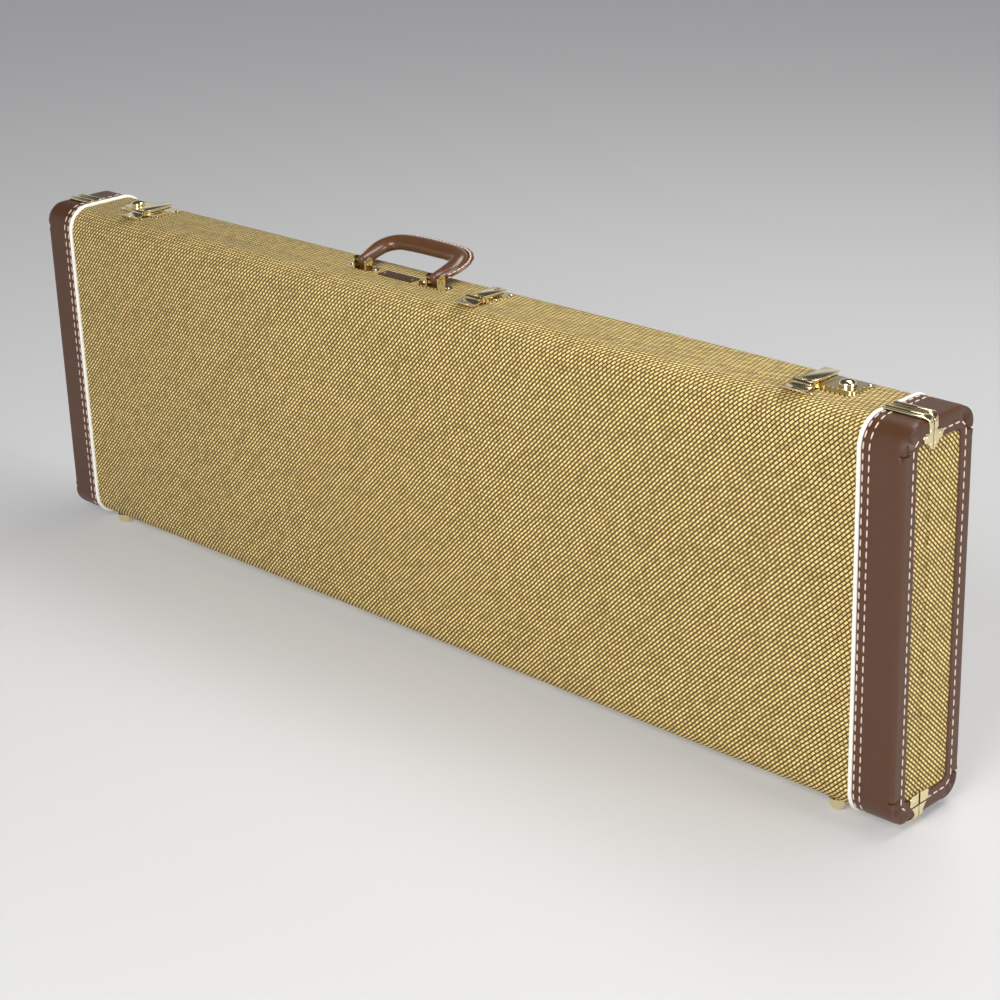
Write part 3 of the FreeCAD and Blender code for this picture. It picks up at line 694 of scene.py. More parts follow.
def build_drift(graph: Graph, take: Callable, give: Callable) -> None:
    """Slow changes of tone over a surface, at two sizes.

    Args:
        graph: the tree to build in.
        take: gives a group input by name.
        give: feeds a group output by name.
    """
    place = take("Place")
    broad = graph.noise(graph.stretch(place, (1, 1, 1)), 5.0, 2.0)
    close = graph.noise(place, 38.0, 4.0)
    both = graph.plus(graph.times(broad, 0.6), graph.times(close, 0.4))
    centred = graph.math("SUBTRACT", both, 0.5)
    give("Tone", graph.plus(graph.times(centred, take("Amount")), 1.0))


def build_weave(graph: Graph, take: Callable, give: Callable) -> None:
    """Diagonal twill: light twisted yarns lying over a dark ground.

    Args:
        graph: the tree to build in.
        take: gives a group input by name.
        give: feeds a group output by name.
    """
    yarn_edge, bead_edge, bead_shift = (-0.58, 0.08), (-0.95, -0.1), 0.37
    yarn_tones, bead_tones = (0.90, 1.0), (0.66, 1.04)
    bead_light, fibre_light = (0.28, 1.14), (0.86, 1.12)
    place = take("Run")
    wander = graph.times(graph.math("SUBTRACT", graph.noise(place, 34.0, 2.0), 0.5), 0.6)
    split = graph.add("ShaderNodeSeparateXYZ")
    graph.feed(split.inputs[0], place)
    u, v = split.outputs[0], split.outputs[1]
    across = graph.math("DIVIDE", graph.plus(u, v), graph.times(take("Pitch"), math.sqrt(2)))
    across = graph.plus(across, wander)
    along = graph.math("DIVIDE", graph.math("SUBTRACT", u, v), graph.times(take("Bead"), math.sqrt(2)))
    wave = graph.math("SINE", graph.times(across, 2 * math.pi))
    stripe = graph.step(wave, *yarn_edge)
    yarn_number = graph.math("FLOOR", graph.plus(across, 0.25))
    shift = graph.times(yarn_number, bead_shift)
    bead_wave = graph.math("SINE", graph.times(graph.plus(along, shift), 2 * math.pi))
    bead = graph.step(bead_wave, *bead_edge)
    yarn = graph.add("ShaderNodeTexWhiteNoise", noise_dimensions="1D")
    graph.feed(yarn.inputs["W"], yarn_number)
    one_bead = graph.add("ShaderNodeTexWhiteNoise", noise_dimensions="2D")
    spot = graph.add("ShaderNodeCombineXYZ")
    graph.feed(spot.inputs[0], yarn_number)
    graph.feed(spot.inputs[1], graph.math("FLOOR", graph.plus(graph.plus(along, shift), 0.25)))
    graph.feed(one_bead.inputs["Vector"], spot.outputs[0])
    tone = graph.times(graph.span(yarn.outputs["Value"], *yarn_tones),
                       graph.span(one_bead.outputs["Value"], *bead_tones))
    twist = graph.plus(graph.times(along, 5.0), graph.times(across, 2.0))
    ply = graph.math("SINE", graph.times(twist, 2 * math.pi))
    fibre = graph.noise(place, 2600.0, 2.0)
    light = graph.times(graph.times(stripe, tone), graph.span(bead, *bead_light))
    light = graph.times(light, graph.span(fibre, *fibre_light), clamp=True)
    give("Light", light)
    dome = graph.times(graph.step(wave, -0.9, 1.0), graph.span(bead, 0.6, 1.0))
    height = graph.plus(dome, graph.times(ply, 0.10))
    give("Height", graph.plus(height, graph.times(fibre, 0.12)))


def build_grain(graph: Graph, take: Callable, give: Callable) -> None:
    """Pebbled hide: rounded cells with creases between them.

    Args:
        graph: the tree to build in.
        take: gives a group input by name.
        give: feeds a group output by name.
    """
    place = take("Place")
    cells = graph.add("ShaderNodeTexVoronoi", feature="F1")
    graph.feed(cells.inputs["Vector"], place)
    graph.feed(cells.inputs["Scale"], take("Cells"))
    crease = graph.step(cells.outputs["Distance"], 0.25, 0.75)
    fine = graph.noise(place, 900.0, 3.0)
    height = graph.math("SUBTRACT", graph.times(fine, 0.35), graph.times(crease, 0.65))
    give("Height", height)
    give("Crease", crease)


def build_pile(graph: Graph, take: Callable, give: Callable) -> None:
    """Short pile, laid by brushing: fine tufts for its bump, and a mask of tufts and broad strokes where it
    lies another way, for a painted sheen.

    Args:
        graph: the tree to build in.
        take: gives a group input by name.
        give: feeds a group output by name.
    """
    place = take("Place")
    tufts = graph.noise(place, 1500.0, 3.0, 0.7)
    strokes = graph.noise(graph.stretch(place, (1.0, 1.0, 3.0)), 14.0, 4.0, 0.6)
    give("Height", tufts)
    # mask of the painted sheen: lighter where the pile lies another way
    give("Shade", graph.plus(graph.times(tufts, 0.55), graph.times(strokes, 0.45)))


def build_scuffs(graph: Graph, take: Callable, give: Callable) -> None:
    """Faint hairline scratches and dull patches of handled metal.

    Args:
        graph: the tree to build in.
        take: gives a group input by name.
        give: feeds a group output by name.
    """
    place = take("Place")
    lines = graph.noise(graph.stretch(place, (30.0, 400.0, 400.0), (0.0, 0.3, 0.5)), 4.0, 3.0, 0.7)
    hair = graph.step(lines, 0.60, 0.75)
    dull = graph.step(graph.noise(place, 90.0, 4.0), 0.45, 0.75)
    give("Hairs", hair)
    give("Dull", dull)


DRIFT = Effect("tone drift", {"Place": None, "Amount": 0.2}, {"Tone": "Float"}, build_drift)
WEAVE = Effect("tweed weave", {"Run": None, "Pitch": 3.63 * MM, "Bead": 5.9 * MM},
               {"Light": "Float", "Height": "Float"}, build_weave)
GRAIN = Effect("hide grain", {"Place": None, "Cells": 700.0}, {"Height": "Float", "Crease": "Float"},
               build_grain)
PILE = Effect("brushed pile", {"Place": None}, {"Height": "Float", "Shade": "Float"}, build_pile)
SCUFFS = Effect("metal scuffs", {"Place": None}, {"Hairs": "Float", "Dull": "Float"}, build_scuffs)


@dataclass(frozen=True)
class Finish:
    """What every finish has: a name, a colour and a gloss."""

    name: str
    colour: Colour
    rough: float = 0.5
    coat: float = 0.0
    coat_rough: float = 0.2
    bump: float = 0.3
    bump_depth: float = 0.2 * MM
    drift: float = 0.2

    def start(self) -> tuple[Material, Graph, Node]:
        """A new material with its graph and its Principled shader.

        Returns:
            The material, its graph and its shader.
        """
        material = bpy.data.materials.new(self.name)
        material.use_nodes = True
        graph = Graph(material.node_tree)
        shader = material.node_tree.nodes["Principled BSDF"]
        shader.inputs["Coat Weight"].default_value = self.coat
        shader.inputs["Coat Roughness"].default_value = self.coat_rough
        shader.inputs["Roughness"].default_value = self.rough
        return material, graph, shader

    def raise_surface(self, graph: Graph, shader: Node, height: Socket) -> None:
        """Feeds a height to the shader's normal through a Bump node.

        Args:
            graph: the tree to build in.
            shader: the Principled shader.
            height: the height that is fed.
        """
        bump = graph.add("ShaderNodeBump")
        bump.inputs["Strength"].default_value = self.bump
        bump.inputs["Distance"].default_value = self.bump_depth
        graph.feed(bump.inputs["Height"], height)
        graph.feed(shader.inputs["Normal"], bump.outputs["Normal"])

    def paint(self, graph: Graph, shader: Node, colour: object) -> None:
        """Feeds the base colour, drifting slowly over the surface."""
        graph.feed(shader.inputs["Base Color"], self.toned(graph, colour, graph.object_place()))

    def toned(self, graph: Graph, colour: object, place: Socket) -> Socket:
        """A colour that drifts slowly over the surface.

        Args:
            graph: the tree to build in.
            colour: the colour before the drift.
            place: the coordinates or point.

        Returns:
            The result's output.
        """
        tone = graph.use(DRIFT.group(), Place=place, Amount=self.drift).outputs["Tone"]
        grey = graph.add("ShaderNodeCombineColor")
        for channel in range(3):
            graph.feed(grey.inputs[channel], tone)
        return graph.mix(1.0, colour, grey.outputs[0], "MULTIPLY")


@dataclass(frozen=True)
class TweedFinish(Finish):
    """Lacquered diagonal tweed, whose yarns follow the cloth or an end panel."""

    ground: Colour = linear(78, 54, 10)
    shine: float = 0.2
    dull: float = 0.15
    run: str = "cloth"

    def coordinates(self, graph: Graph) -> Socket:
        """Where along and across the cloth a point is, in metres.

        Args:
            graph: the tree to build in.

        Returns:
            The result's output.
        """
        if self.run == "cloth":
            return graph.add("ShaderNodeUVMap", uv_map=ClothCovers.RUN_MAP).outputs["UV"]
        split = graph.add("ShaderNodeSeparateXYZ")
        graph.feed(split.inputs[0], graph.object_place())
        joined = graph.add("ShaderNodeCombineXYZ")
        graph.feed(joined.inputs[0], split.outputs[1])
        graph.feed(joined.inputs[1], split.outputs[2])
        return joined.outputs[0]

    def material(self) -> Material:
        """The shader of the tweed.

        Returns:
            The material.
        """
        material, graph, shader = self.start()
        weave = graph.use(WEAVE.group(), Run=self.coordinates(graph))
        yarn = graph.mix(weave.outputs["Light"], self.ground, self.colour)
        shader.inputs["Specular IOR Level"].default_value = self.shine
        self.paint(graph, shader, yarn)
        dull = graph.span(weave.outputs["Light"], self.rough + self.dull, self.rough)
        graph.feed(shader.inputs["Roughness"], dull)
        self.raise_surface(graph, shader, weave.outputs["Height"])
        return material


@dataclass(frozen=True)
class LeatherFinish(Finish):
    """Smooth brown leather with a fine grain and darker creases."""

    cells: float = 700.0
    crease: float = 0.82

    def material(self) -> Material:
        """The shader of the leather.

        Returns:
            The material.
        """
        material, graph, shader = self.start()
        place = graph.object_place()
        grain = graph.use(GRAIN.group(), Place=place, Cells=self.cells)
        deep = tuple(channel * self.crease for channel in self.colour)
        hide = graph.mix(grain.outputs["Crease"], self.colour, deep)
        self.paint(graph, shader, hide)
        patches = graph.noise(place, 70.0, 3.0)
        graph.feed(shader.inputs["Roughness"], graph.span(patches, self.rough - 0.08, self.rough + 0.08))
        self.raise_surface(graph, shader, grain.outputs["Height"])
        return material


@dataclass(frozen=True)
class PlushFinish(Finish):
    """Short-pile plush, with a painted sheen: patches painted lighter where the pile leans away."""

    # the lighter copy of the plush colour, for the painted sheen
    lit: Colour = linear(150, 38, 48)

    def material(self) -> Material:
        """The shader of the plush.

        Returns:
            The material.
        """
        material, graph, shader = self.start()
        place = graph.object_place()
        pile = graph.use(PILE.group(), Place=place)
        # painted sheen: the lighter copy mixed in where the pile's Shade mask is high
        brushed_sheen = graph.mix(graph.step(pile.outputs["Shade"], 0.35, 0.7), self.colour, self.lit)
        self.paint(graph, shader, brushed_sheen)
        shader.inputs["Sheen Weight"].default_value = 0.45
        shader.inputs["Sheen Roughness"].default_value = 0.4
        shader.inputs["Sheen Tint"].default_value = (1.0, 0.55, 0.55, 1.0)
        self.raise_surface(graph, shader, pile.outputs["Height"])
        return material


@dataclass(frozen=True)
class MetalFinish(Finish):
    """Polished plated metal with hairlines and duller patches."""

    def material(self) -> Material:
        """The shader of the plating.

        Returns:
            The material.
        """
        material, graph, shader = self.start()
        place = graph.object_place()
        scuffs = graph.use(SCUFFS.group(), Place=place)
        self.paint(graph, shader, self.colour)
        shader.inputs["Metallic"].default_value = 1.0
        dull = graph.span(scuffs.outputs["Dull"], self.rough, self.rough + 0.10)
        hairs = graph.times(scuffs.outputs["Hairs"], 0.10)
        graph.feed(shader.inputs["Roughness"], graph.plus(dull, hairs))
        self.raise_surface(graph, shader, scuffs.outputs["Hairs"])
        return material


@dataclass(frozen=True)
class SmoothFinish(Finish):
    """A plain surface with faint unevenness: welt, enamel or thread."""

    ripple: float = 400.0

    def material(self) -> Material:
        """The shader of the surface.

        Returns:
            The material.
        """
        material, graph, shader = self.start()
        place = graph.object_place()
        uneven = graph.noise(place, self.ripple, 3.0)
        self.paint(graph, shader, self.colour)
        graph.feed(shader.inputs["Roughness"], graph.span(uneven, self.rough - 0.06, self.rough + 0.06))
        self.raise_surface(graph, shader, uneven)
        return material


@dataclass(frozen=True)
class WoodFinish(Finish):
    """Birch plywood, its plies drawn out along the case."""

    late: Colour = linear(150, 108, 66)

    def material(self) -> Material:
        """The shader of the wood.

        Returns:
            The material.
        """
        material, graph, shader = self.start()
        place = graph.object_place()
        fibres = graph.noise(graph.stretch(place, (12.0, 260.0, 260.0)), 3.0, 5.0, 0.6)
        wood = graph.mix(graph.step(fibres, 0.38, 0.68), self.colour, self.late)
        self.paint(graph, shader, wood)
        self.raise_surface(graph, shader, fibres)
        return material


class Finishes:
    """Every material of the case, made once."""

    def __init__(self) -> None:
        """Makes the materials."""
        cream = linear(248, 222, 148)
        tweed = TweedFinish("lacquered tweed", cream, rough=0.55, coat=0.02, coat_rough=0.4, bump=0.03,
                            bump_depth=0.5 * MM, drift=0.16)
        self.cloth = tweed.material()
        self.panel = TweedFinish("tweed end panel", cream, rough=0.55, coat=0.02, coat_rough=0.4, bump=0.03,
                                 bump_depth=0.5 * MM, drift=0.16, run="panel").material()
        self.leather = LeatherFinish("brown leather", linear(86, 52, 28), rough=0.42, coat=0.06,
                                     coat_rough=0.35, bump=0.25, bump_depth=0.12 * MM,
                                     drift=0.35).material()
        self.pull = LeatherFinish("pull leather", linear(104, 66, 44), rough=0.6, bump=0.4,
                                  bump_depth=0.2 * MM, drift=0.3, cells=420.0).material()
        self.grip = LeatherFinish("handle leather", linear(100, 64, 36), rough=0.3, coat=0.45,
                                  coat_rough=0.18, bump=0.15, bump_depth=0.1 * MM, drift=0.3,
                                  cells=520.0).material()
        self.plush = PlushFinish("burgundy plush", linear(92, 16, 26), rough=0.9, bump=0.7,
                                 bump_depth=0.5 * MM, drift=0.2).material()
        self.gold = MetalFinish("gold plating", (0.90, 0.77, 0.46), rough=0.10, bump=0.06,
                                bump_depth=0.05 * MM, drift=0.08).material()
        self.welt = SmoothFinish("white welt", linear(253, 251, 242), rough=0.38, coat=0.2, bump=0.2,
                                 bump_depth=0.1 * MM, drift=0.10).material()
        self.thread = SmoothFinish("waxed thread", linear(232, 206, 188), rough=0.6, bump=0.5,
                                   bump_depth=0.2 * MM, drift=0.15, ripple=1800.0).material()
        self.badge = SmoothFinish("badge enamel", linear(66, 44, 28), rough=0.35, coat=0.3, bump=0.1,
                                  bump_depth=0.1 * MM, drift=0.2).material()
        self.wood = WoodFinish("birch plywood", linear(206, 170, 122), rough=0.6, bump=0.2,
                               bump_depth=0.1 * MM, drift=0.2).material()

    def of(self, slot: str) -> Material:
        """The material of a CAD node, by its slot in the record.

        Args:
            slot: its material slot in the record.

        Returns:
            The material.
        """
        return {Slot.TWEED: self.panel, Slot.PLYWOOD: self.wood, Slot.PLUSH: self.plush,
                Slot.LEATHER: self.leather, Slot.PULL: self.pull, Slot.PIPING: self.welt,
                Slot.BADGE: self.badge, Slot.GOLD: self.gold}[Slot(slot)]

    def dress_nodes(self) -> None:
        """Gives every CAD node the finish of its slot."""
        for part in frame["record"]["subparts"]:
            node = frame["nodes"][part["node"]]
            node.data.materials.clear()
            node.data.materials.append(self.of(part["material_slot"]))


# ---- the case's outline


@dataclass(frozen=True)
class Outline:
    """A rounded rectangle in the YZ plane, walked by its length from the top middle towards the front."""

    depth: float
    low: float
    high: float
    radius: float

    @property
    def flat_top(self) -> float:
        """Half the length of the flat top."""
        return self.depth - self.radius

    @property
    def side(self) -> float:
        """The length of the flat front."""
        return self.high - self.low - 2 * self.radius

    @property
    def corner(self) -> float:
        """The length of one rounded corner."""
        return self.radius * math.pi / 2

    @property
    def half_length(self) -> float:
        """The length of the front half, from top middle to bottom middle."""
        return 2 * self.flat_top + 2 * self.corner + self.side

    def shrunk(self, inset: float) -> "Outline":
        """The same outline moved inwards."""
        return Outline(self.depth - inset, self.low + inset, self.high - inset, self.radius - inset)

    def at(self, run: float) -> tuple[Vector, Vector]:
        """A place on the front half.

        Args:
            run: length from the top middle, in metres.

        Returns:
            The point (0, y, z) and the outward direction there.
        """
        top, bottom = self.high - self.radius, self.low + self.radius
        if run <= self.flat_top:
            return Vector((0, -run, self.high)), Vector((0, 0, 1))
        run -= self.flat_top
        if run <= self.corner:
            angle = run / self.radius
            out = Vector((0, -math.sin(angle), math.cos(angle)))
            return Vector((0, -self.flat_top, top)) + out * self.radius, out
        run -= self.corner
        if run <= self.side:
            return Vector((0, -self.depth, top - run)), Vector((0, -1, 0))
        run -= self.side
        if run <= self.corner:
            angle = run / self.radius
            out = Vector((0, -math.cos(angle), -math.sin(angle)))
            return Vector((0, -self.flat_top, bottom)) + out * self.radius, out
        run -= self.corner
        return Vector((0, -self.flat_top + run, self.low)), Vector((0, 0, -1))

    def run_of(self, y: float, z: float) -> float:
        """The length from the top middle to the place nearest to a point, negative at the back.

        Args:
            y: the point's Y.
            z: the point's Z.

        Returns:
            The length, in metres.
        """
        sign = -1 if y > 0 else 1
        y = abs(y)
        top, bottom = self.high - self.radius, self.low + self.radius
        if y <= self.flat_top:
            run = y if z > (top + bottom) / 2 else self.half_length - y
        elif z > top:
            run = self.flat_top + self.radius * math.atan2(y - self.flat_top, z - top)
        elif z < bottom:
            turned = self.radius * math.atan2(bottom - z, y - self.flat_top)
            run = self.flat_top + self.corner + self.side + turned
        else:
            run = self.flat_top + self.corner + top - z
        return sign * run


def rounded_sheet(name: str, outline: Outline, x: float, steps: int) -> Piece:
    """A flat sheet across the case, cut to an outline.

    Args:
        name: its name.
        outline: the shape it is cut to.
        x: where along the case it stands.
        steps: how many segments each rounded corner gets.

    Returns:
        The sheet, as one face.
    """
    Bench.clear()
    bpy.ops.mesh.primitive_plane_add(size=1, location=(x, 0, (outline.low + outline.high) / 2),
                                     rotation=(0, math.pi / 2, 0))
    piece = bpy.context.active_object
    piece.scale = (outline.high - outline.low, 2 * outline.depth, 1)
    Bench.settle(piece, name)
    with Bench.editing(piece):
        Bench.pick_all()
        bpy.ops.mesh.bevel(offset=outline.radius, segments=steps, affect="VERTICES")
    return piece


def outline_of(node: str, radius: float) -> Outline:
    """The outline of the case at a CAD node's outer surface."""
    low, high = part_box(node)
    return Outline(max(abs(low.y), abs(high.y)), low.z, high.z, radius)


# ---- cloth covers


@dataclass
class ClothCovers:
    """The tweed wrapped round the four long sides of each half."""

    finishes: Finishes
    radius: float = 25.0 * MM
    thick: float = 0.8 * MM
    corner_steps: int = 12
    edge_round: float = 0.25 * MM

    RUN_MAP = "ClothRun"

    def sheet(self, half: Half) -> Piece:
        """Bends one sheet round a half of the case.

        Args:
            half: which half it covers.

        Returns:
            The sheet, from the split on the top to the split on the spine.
        """
        node = half.value + "_tweed"
        low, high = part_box(node)
        split, away = split_of(half)
        sign = -away
        flat = sign * (max(abs(low.y), abs(high.y)) - self.radius)
        Bench.clear()
        bpy.ops.mesh.primitive_plane_add(size=1, location=(0, (split + flat) / 2, high.z))
        piece = bpy.context.active_object
        piece.scale = (high.x - low.x, abs(flat - split), 1)
        Bench.settle(piece, node.replace("_tweed", "_tweed_cover"))
        turn = sign * math.pi / 2
        with Bench.editing(piece):
            Bench.pick(piece, "EDGE", lambda e: all(abs(v.co.y - flat) < TINY for v in e.verts))
            for centre_z, run in ((high.z - self.radius, -(high.z - low.z - 2 * self.radius)),
                                  (low.z + self.radius, 0.0)):
                bpy.ops.mesh.spin(steps=self.corner_steps, angle=-turn, center=(0, flat, centre_z),
                                  axis=(-1, 0, 0))
                if run:
                    Bench.extrude((0, 0, run))
            Bench.extrude((0, split - flat, 0))
            Bench.pick_all()
            bpy.ops.mesh.remove_doubles(threshold=TINY)
            bpy.ops.mesh.normals_make_consistent(inside=False)
        Bench.face_outwards(piece)
        return piece

    def lay_run_map(self, piece: Piece, outline: Outline) -> None:
        """Writes how far along and round the case each corner lies, in metres.

        Args:
            piece: the piece worked on.
            outline: the outline it follows.
        """
        layer = piece.data.uv_layers.new(name=self.RUN_MAP)
        for loop in piece.data.loops:
            place = piece.data.vertices[loop.vertex_index].co
            layer.data[loop.index].uv = (place.x, outline.run_of(place.y, place.z))

    def build(self) -> None:
        """Makes both covers."""
        for half in Half:
            node = half.value + "_tweed"
            piece = self.sheet(half)
            Bench.finish(piece, "SOLIDIFY", thickness=self.thick, offset=-1.0)
            Bench.soften_edges(piece, self.edge_round)
            self.lay_run_map(piece, outline_of(node, self.radius))
            dress(piece, self.finishes.cloth, half.value, Slot.TWEED, node)


# ---- plywood and leather ends


@dataclass
class PlywoodShells:
    """The plywood box, its end edges chamfered under the folded leather."""

    finishes: Finishes
    radius: float = 24.2 * MM
    wall: float = 5.0 * MM
    behind_panel: float = 2.5 * MM
    chamfer: float = 9.0 * MM
    corner_steps: int = 10

    def rounded_bar(self, name: str, length: float, outline: Outline) -> Piece:
        """A closed bar with the case's outline.

        Args:
            name: the name it gets.
            length: half its length.
            outline: the outline it follows.

        Returns:
            The piece.
        """
        piece = Bench.block(name, (-length, -outline.depth, outline.low),
                            (length, outline.depth, outline.high))
        with Bench.editing(piece):
            Bench.pick(piece, "EDGE", lambda e: abs(e.verts[0].co.x - e.verts[1].co.x) > length)
            bpy.ops.mesh.bevel(offset=outline.radius, segments=self.corner_steps, affect="EDGES")
        return piece

    def build(self) -> None:
        """Makes the shell of each half."""
        low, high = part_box("base_shell")
        outer = Outline(high.y, low.z, high.z, self.radius)
        reach = high.x - self.behind_panel
        whole = self.rounded_bar("shell", reach, outer)
        with Bench.editing(whole):
            Bench.pick(whole, "EDGE", lambda e: all(abs(abs(v.co.x) - reach) < TINY for v in e.verts)
                       and e.verts[0].co.x * e.verts[1].co.x > 0)
            bpy.ops.mesh.bevel(offset=self.chamfer, segments=1, affect="EDGES")
        Bench.carve(whole, self.rounded_bar("hollow", high.x - self.wall, outer.shrunk(self.wall)))
        for half in Half:
            node = half.value + "_shell"
            split, away = split_of(half, "_shell")
            piece = Bench.copy(whole, half.value + "_plywood")
            Bench.cut_away(piece, (0, split, 0), (0, away, 0), fill=True)
            Bench.smooth(piece)
            dress(piece, self.finishes.wood, half.value, Slot.PLYWOOD, node)
        bpy.data.objects.remove(whole)


@dataclass(frozen=True)
class Dart:
    """Where the slit of one tucked corner lies, in length along the outline past its rounded corner."""

    past: float

    def height(self, radius: float) -> float:
        """How far below the corner's centre the slit starts."""
        return self.past if self.past > 0 else -radius * math.sin(-self.past / radius)


@dataclass
class EndBindings:
    """The leather folded round each end: band, rolled edge, border, and a pleated tuck at each corner."""

    finishes: Finishes
    radius: float = 26.5 * MM
    overlap: float = 2.3 * MM
    fold: float = 6.0 * MM
    thick: float = 1.2 * MM
    corner_steps: int = 20
    fold_steps: int = 8
    first_loop: float = 1.2 * MM
    last_loop: float = 4.0 * MM
    ridge: float = 0.4 * MM
    rings: tuple[float, ...] = (7.2 * MM, 8.8 * MM, 10.4 * MM, 12.2 * MM, 14.4 * MM, 17.0 * MM, 19.9 * MM)
    hem: Pairs = (
        (0.6 * MM, -0.15 * MM), (0.6 * MM, -0.5 * MM), (0.4 * MM, -1.2 * MM))
    dip: float = 4.2 * MM
    dip_end: float = 14.4 * MM
    crease_at: float = 0.62
    crease_half: float = 0.17
    slit: float = 2.2 * MM
    slit_deep: float = 3.6 * MM
    slit_start: float = 5.0 * MM
    bulge: float = 1.0 * MM
    bulge_run: float = 7.0 * MM
    top_dart: Dart = Dart(-2.1 * MM)
    front_dart: Dart = Dart(1.4 * MM)
    back_dart: Dart = Dart(-6.0 * MM)

    def __post_init__(self) -> None:
        """Reads the band's place from the frame."""
        low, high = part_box("base_binding_right")
        self.start = low.x - self.overlap
        self.face = high.x
        self.outline = Outline(high.y, low.z, high.z, self.radius)

    def blank(self) -> Piece:
        """The whole right end in one sheet: an outline drawn out, rolled over and inset.

        Returns:
            The piece.
        """
        piece = rounded_sheet("binding", self.outline, self.start, self.corner_steps)
        roll = self.face - self.fold
        stops = (self.start + self.first_loop, roll - self.last_loop, roll)
        with Bench.editing(piece):
            Bench.pick(piece, "FACE", lambda f: True)
            here = self.start
            for stop in stops:
                Bench.extrude((stop - here, 0, 0))
                here = stop
            before = 0.0
            for step in range(1, self.fold_steps + 1):
                angle = step / self.fold_steps * math.pi / 2
                inset = self.fold * (math.cos(before) - math.cos(angle))
                rise = self.fold * (math.sin(angle) - math.sin(before))
                bpy.ops.mesh.inset(thickness=inset, depth=rise)
                before = angle
            reached = self.fold
            for ring in self.rings:
                bpy.ops.mesh.inset(thickness=ring - reached, depth=0)
                reached = ring
            for inset, drop in self.hem:
                bpy.ops.mesh.inset(thickness=inset, depth=drop)
            bpy.ops.mesh.delete(type="FACE")
            Bench.pick(piece, "FACE", lambda f: abs(f.calc_center_median().x - self.start) < TINY)
            bpy.ops.mesh.delete(type="FACE")
            self.score()
        return piece

    def score(self) -> None:
        """Cuts edge loops where the slits open and where their lower lips swell."""
        top = self.outline.high - self.radius
        bottom = self.outline.low + self.radius
        places = [top - self.top_dart.height(self.radius) - step for step in self.steps_past()]
        for dart in (self.front_dart, self.back_dart):
            places += [bottom + dart.height(self.radius) + step for step in self.steps_past()]
        bpy.ops.mesh.select_mode(type="FACE")
        for height in places:
            Bench.pick_all()
            bpy.ops.mesh.bisect(plane_co=(0, 0, height), plane_no=(0, 0, 1))

    def steps_past(self) -> tuple[float, ...]:
        """How far past the start of a slit the loops are cut."""
        return 0.0, self.slit / 2, self.slit, self.slit + 0.35 * self.bulge_run, self.slit + self.bulge_run

    def pleated(self, place: Vector) -> Vector:
        """Where a point of the plain folded sheet goes when the corners are tucked and darted.

        Args:
            place: the point of the plain sheet.

        Returns:
            The point's new place.
        """
        outline = self.outline
        front = 1 if place.y > 0 else -1
        upper = 1 if place.z > (outline.low + outline.high) / 2 else -1
        centre_z = outline.high - self.radius if upper > 0 else outline.low + self.radius
        y = abs(place.y) - outline.flat_top
        z = upper * (place.z - centre_z)
        if y <= 0 or place.x < self.face - self.fold - TINY:
            return place
        if upper > 0:
            dart = self.top_dart
        else:
            dart = self.back_dart if front > 0 else self.front_dart
        arc = z > 0
        angle = math.atan2(y, z) if arc else math.pi / 2
        inset = self.radius - math.hypot(y, z) if arc else outline.depth - abs(place.y)
        path = self.radius * angle - (0.0 if arc else z)
        whole = self.radius * math.pi / 2 + dart.past
        done = path / whole
        x = place.x
        turned = math.asin(max(0.0, min(1.0, (x - self.face + self.fold) / self.fold)))
        if done <= 1.0 + TINY:
            x, inset = self.tucked(x, inset, done, turned)
        elif inset < self.dip_end:
            x, inset = self.slit_and_lip(x, inset, path - whole, turned)
        if arc:
            scale = (self.radius - inset) / math.hypot(y, z)
            return Vector((x, front * (outline.flat_top + y * scale), centre_z + upper * z * scale))
        return Vector((x, front * (outline.depth - inset), place.z))

    def tucked(self, x: float, inset: float, done: float, turned: float) -> tuple[float, float]:
        """The crescent of a corner: a crisp ridge with two sloping facets inside it.

        Args:
            x: the point's place along the case.
            inset: its depth inside the outline.
            done: how far round the corner it is, from 0 to the slit at 1.
            turned: how far round the plain roll it is, in radians.

        Returns:
            The new x and inset.
        """
        crisp = math.sin(math.pi * min(1.0, max(0.0, done))) ** 0.6
        share = turned / (math.pi / 2)
        if inset <= self.fold + TINY:
            low_x, low_in = (self.fold - self.ridge) * min(1.0, 2 * share), self.ridge * min(1.0, 2 * share)
            rest = max(0.0, 2 * share - 1)
            sharp_x = self.face - self.fold + low_x + self.ridge * rest
            sharp_in = low_in + (self.fold - self.ridge) * rest
            if x >= self.face - self.fold - TINY:
                x += (sharp_x - x) * crisp
                inset += (sharp_in - inset) * crisp
        if inset < self.dip_end and turned > 0:
            rim = self.ridge + (self.fold - self.ridge) * max(0.0, done - 0.5) * 1.7
            span = self.dip_end - rim
            spot = max(0.0, inset - rim) / span
            bowl = min(spot / 0.42, (1 - spot) / 0.58)
            fold_line = max(0.0, 1 - abs(done - self.crease_at) / self.crease_half)
            grow = min(1.0, max(0.0, (done - 0.08) / 0.3))
            deep = 0.62 + 0.55 * fold_line + 1.25 * max(0.0, done - 0.8)
            x -= self.dip * max(0.0, bowl) * grow * deep
        return x, inset

    def slit_and_lip(self, x: float, inset: float, past: float, turned: float) -> tuple[float, float]:
        """The slit that ends a tuck, and the lip that swells beyond it.

        Args:
            x: the point's place along the case.
            inset: its depth inside the outline.
            past: how far past the slit's start it is.
            turned: how far round the roll it is, in radians.

        Returns:
            The new x and inset.
        """
        fade = min(1.0, max(0.0, (self.dip_end - inset) / (3 * MM)))
        fade *= min(1.0, max(0.0, (x - self.face + self.slit_start) / (2.5 * MM)))
        if past < self.slit - TINY:
            push = -self.slit_deep * (1 - abs(past - self.slit / 2) / (self.slit / 2) * 0.6)
        else:
            push = self.bulge * max(0.0, 1 - (past - self.slit) / self.bulge_run) ** 2
        lean_x = math.sin(turned) if inset <= self.fold + TINY else 1.0
        outward = 0.0 if push > 0 and inset > self.fold else push * fade
        return x + outward * lean_x, inset - outward * math.sqrt(1 - lean_x ** 2)

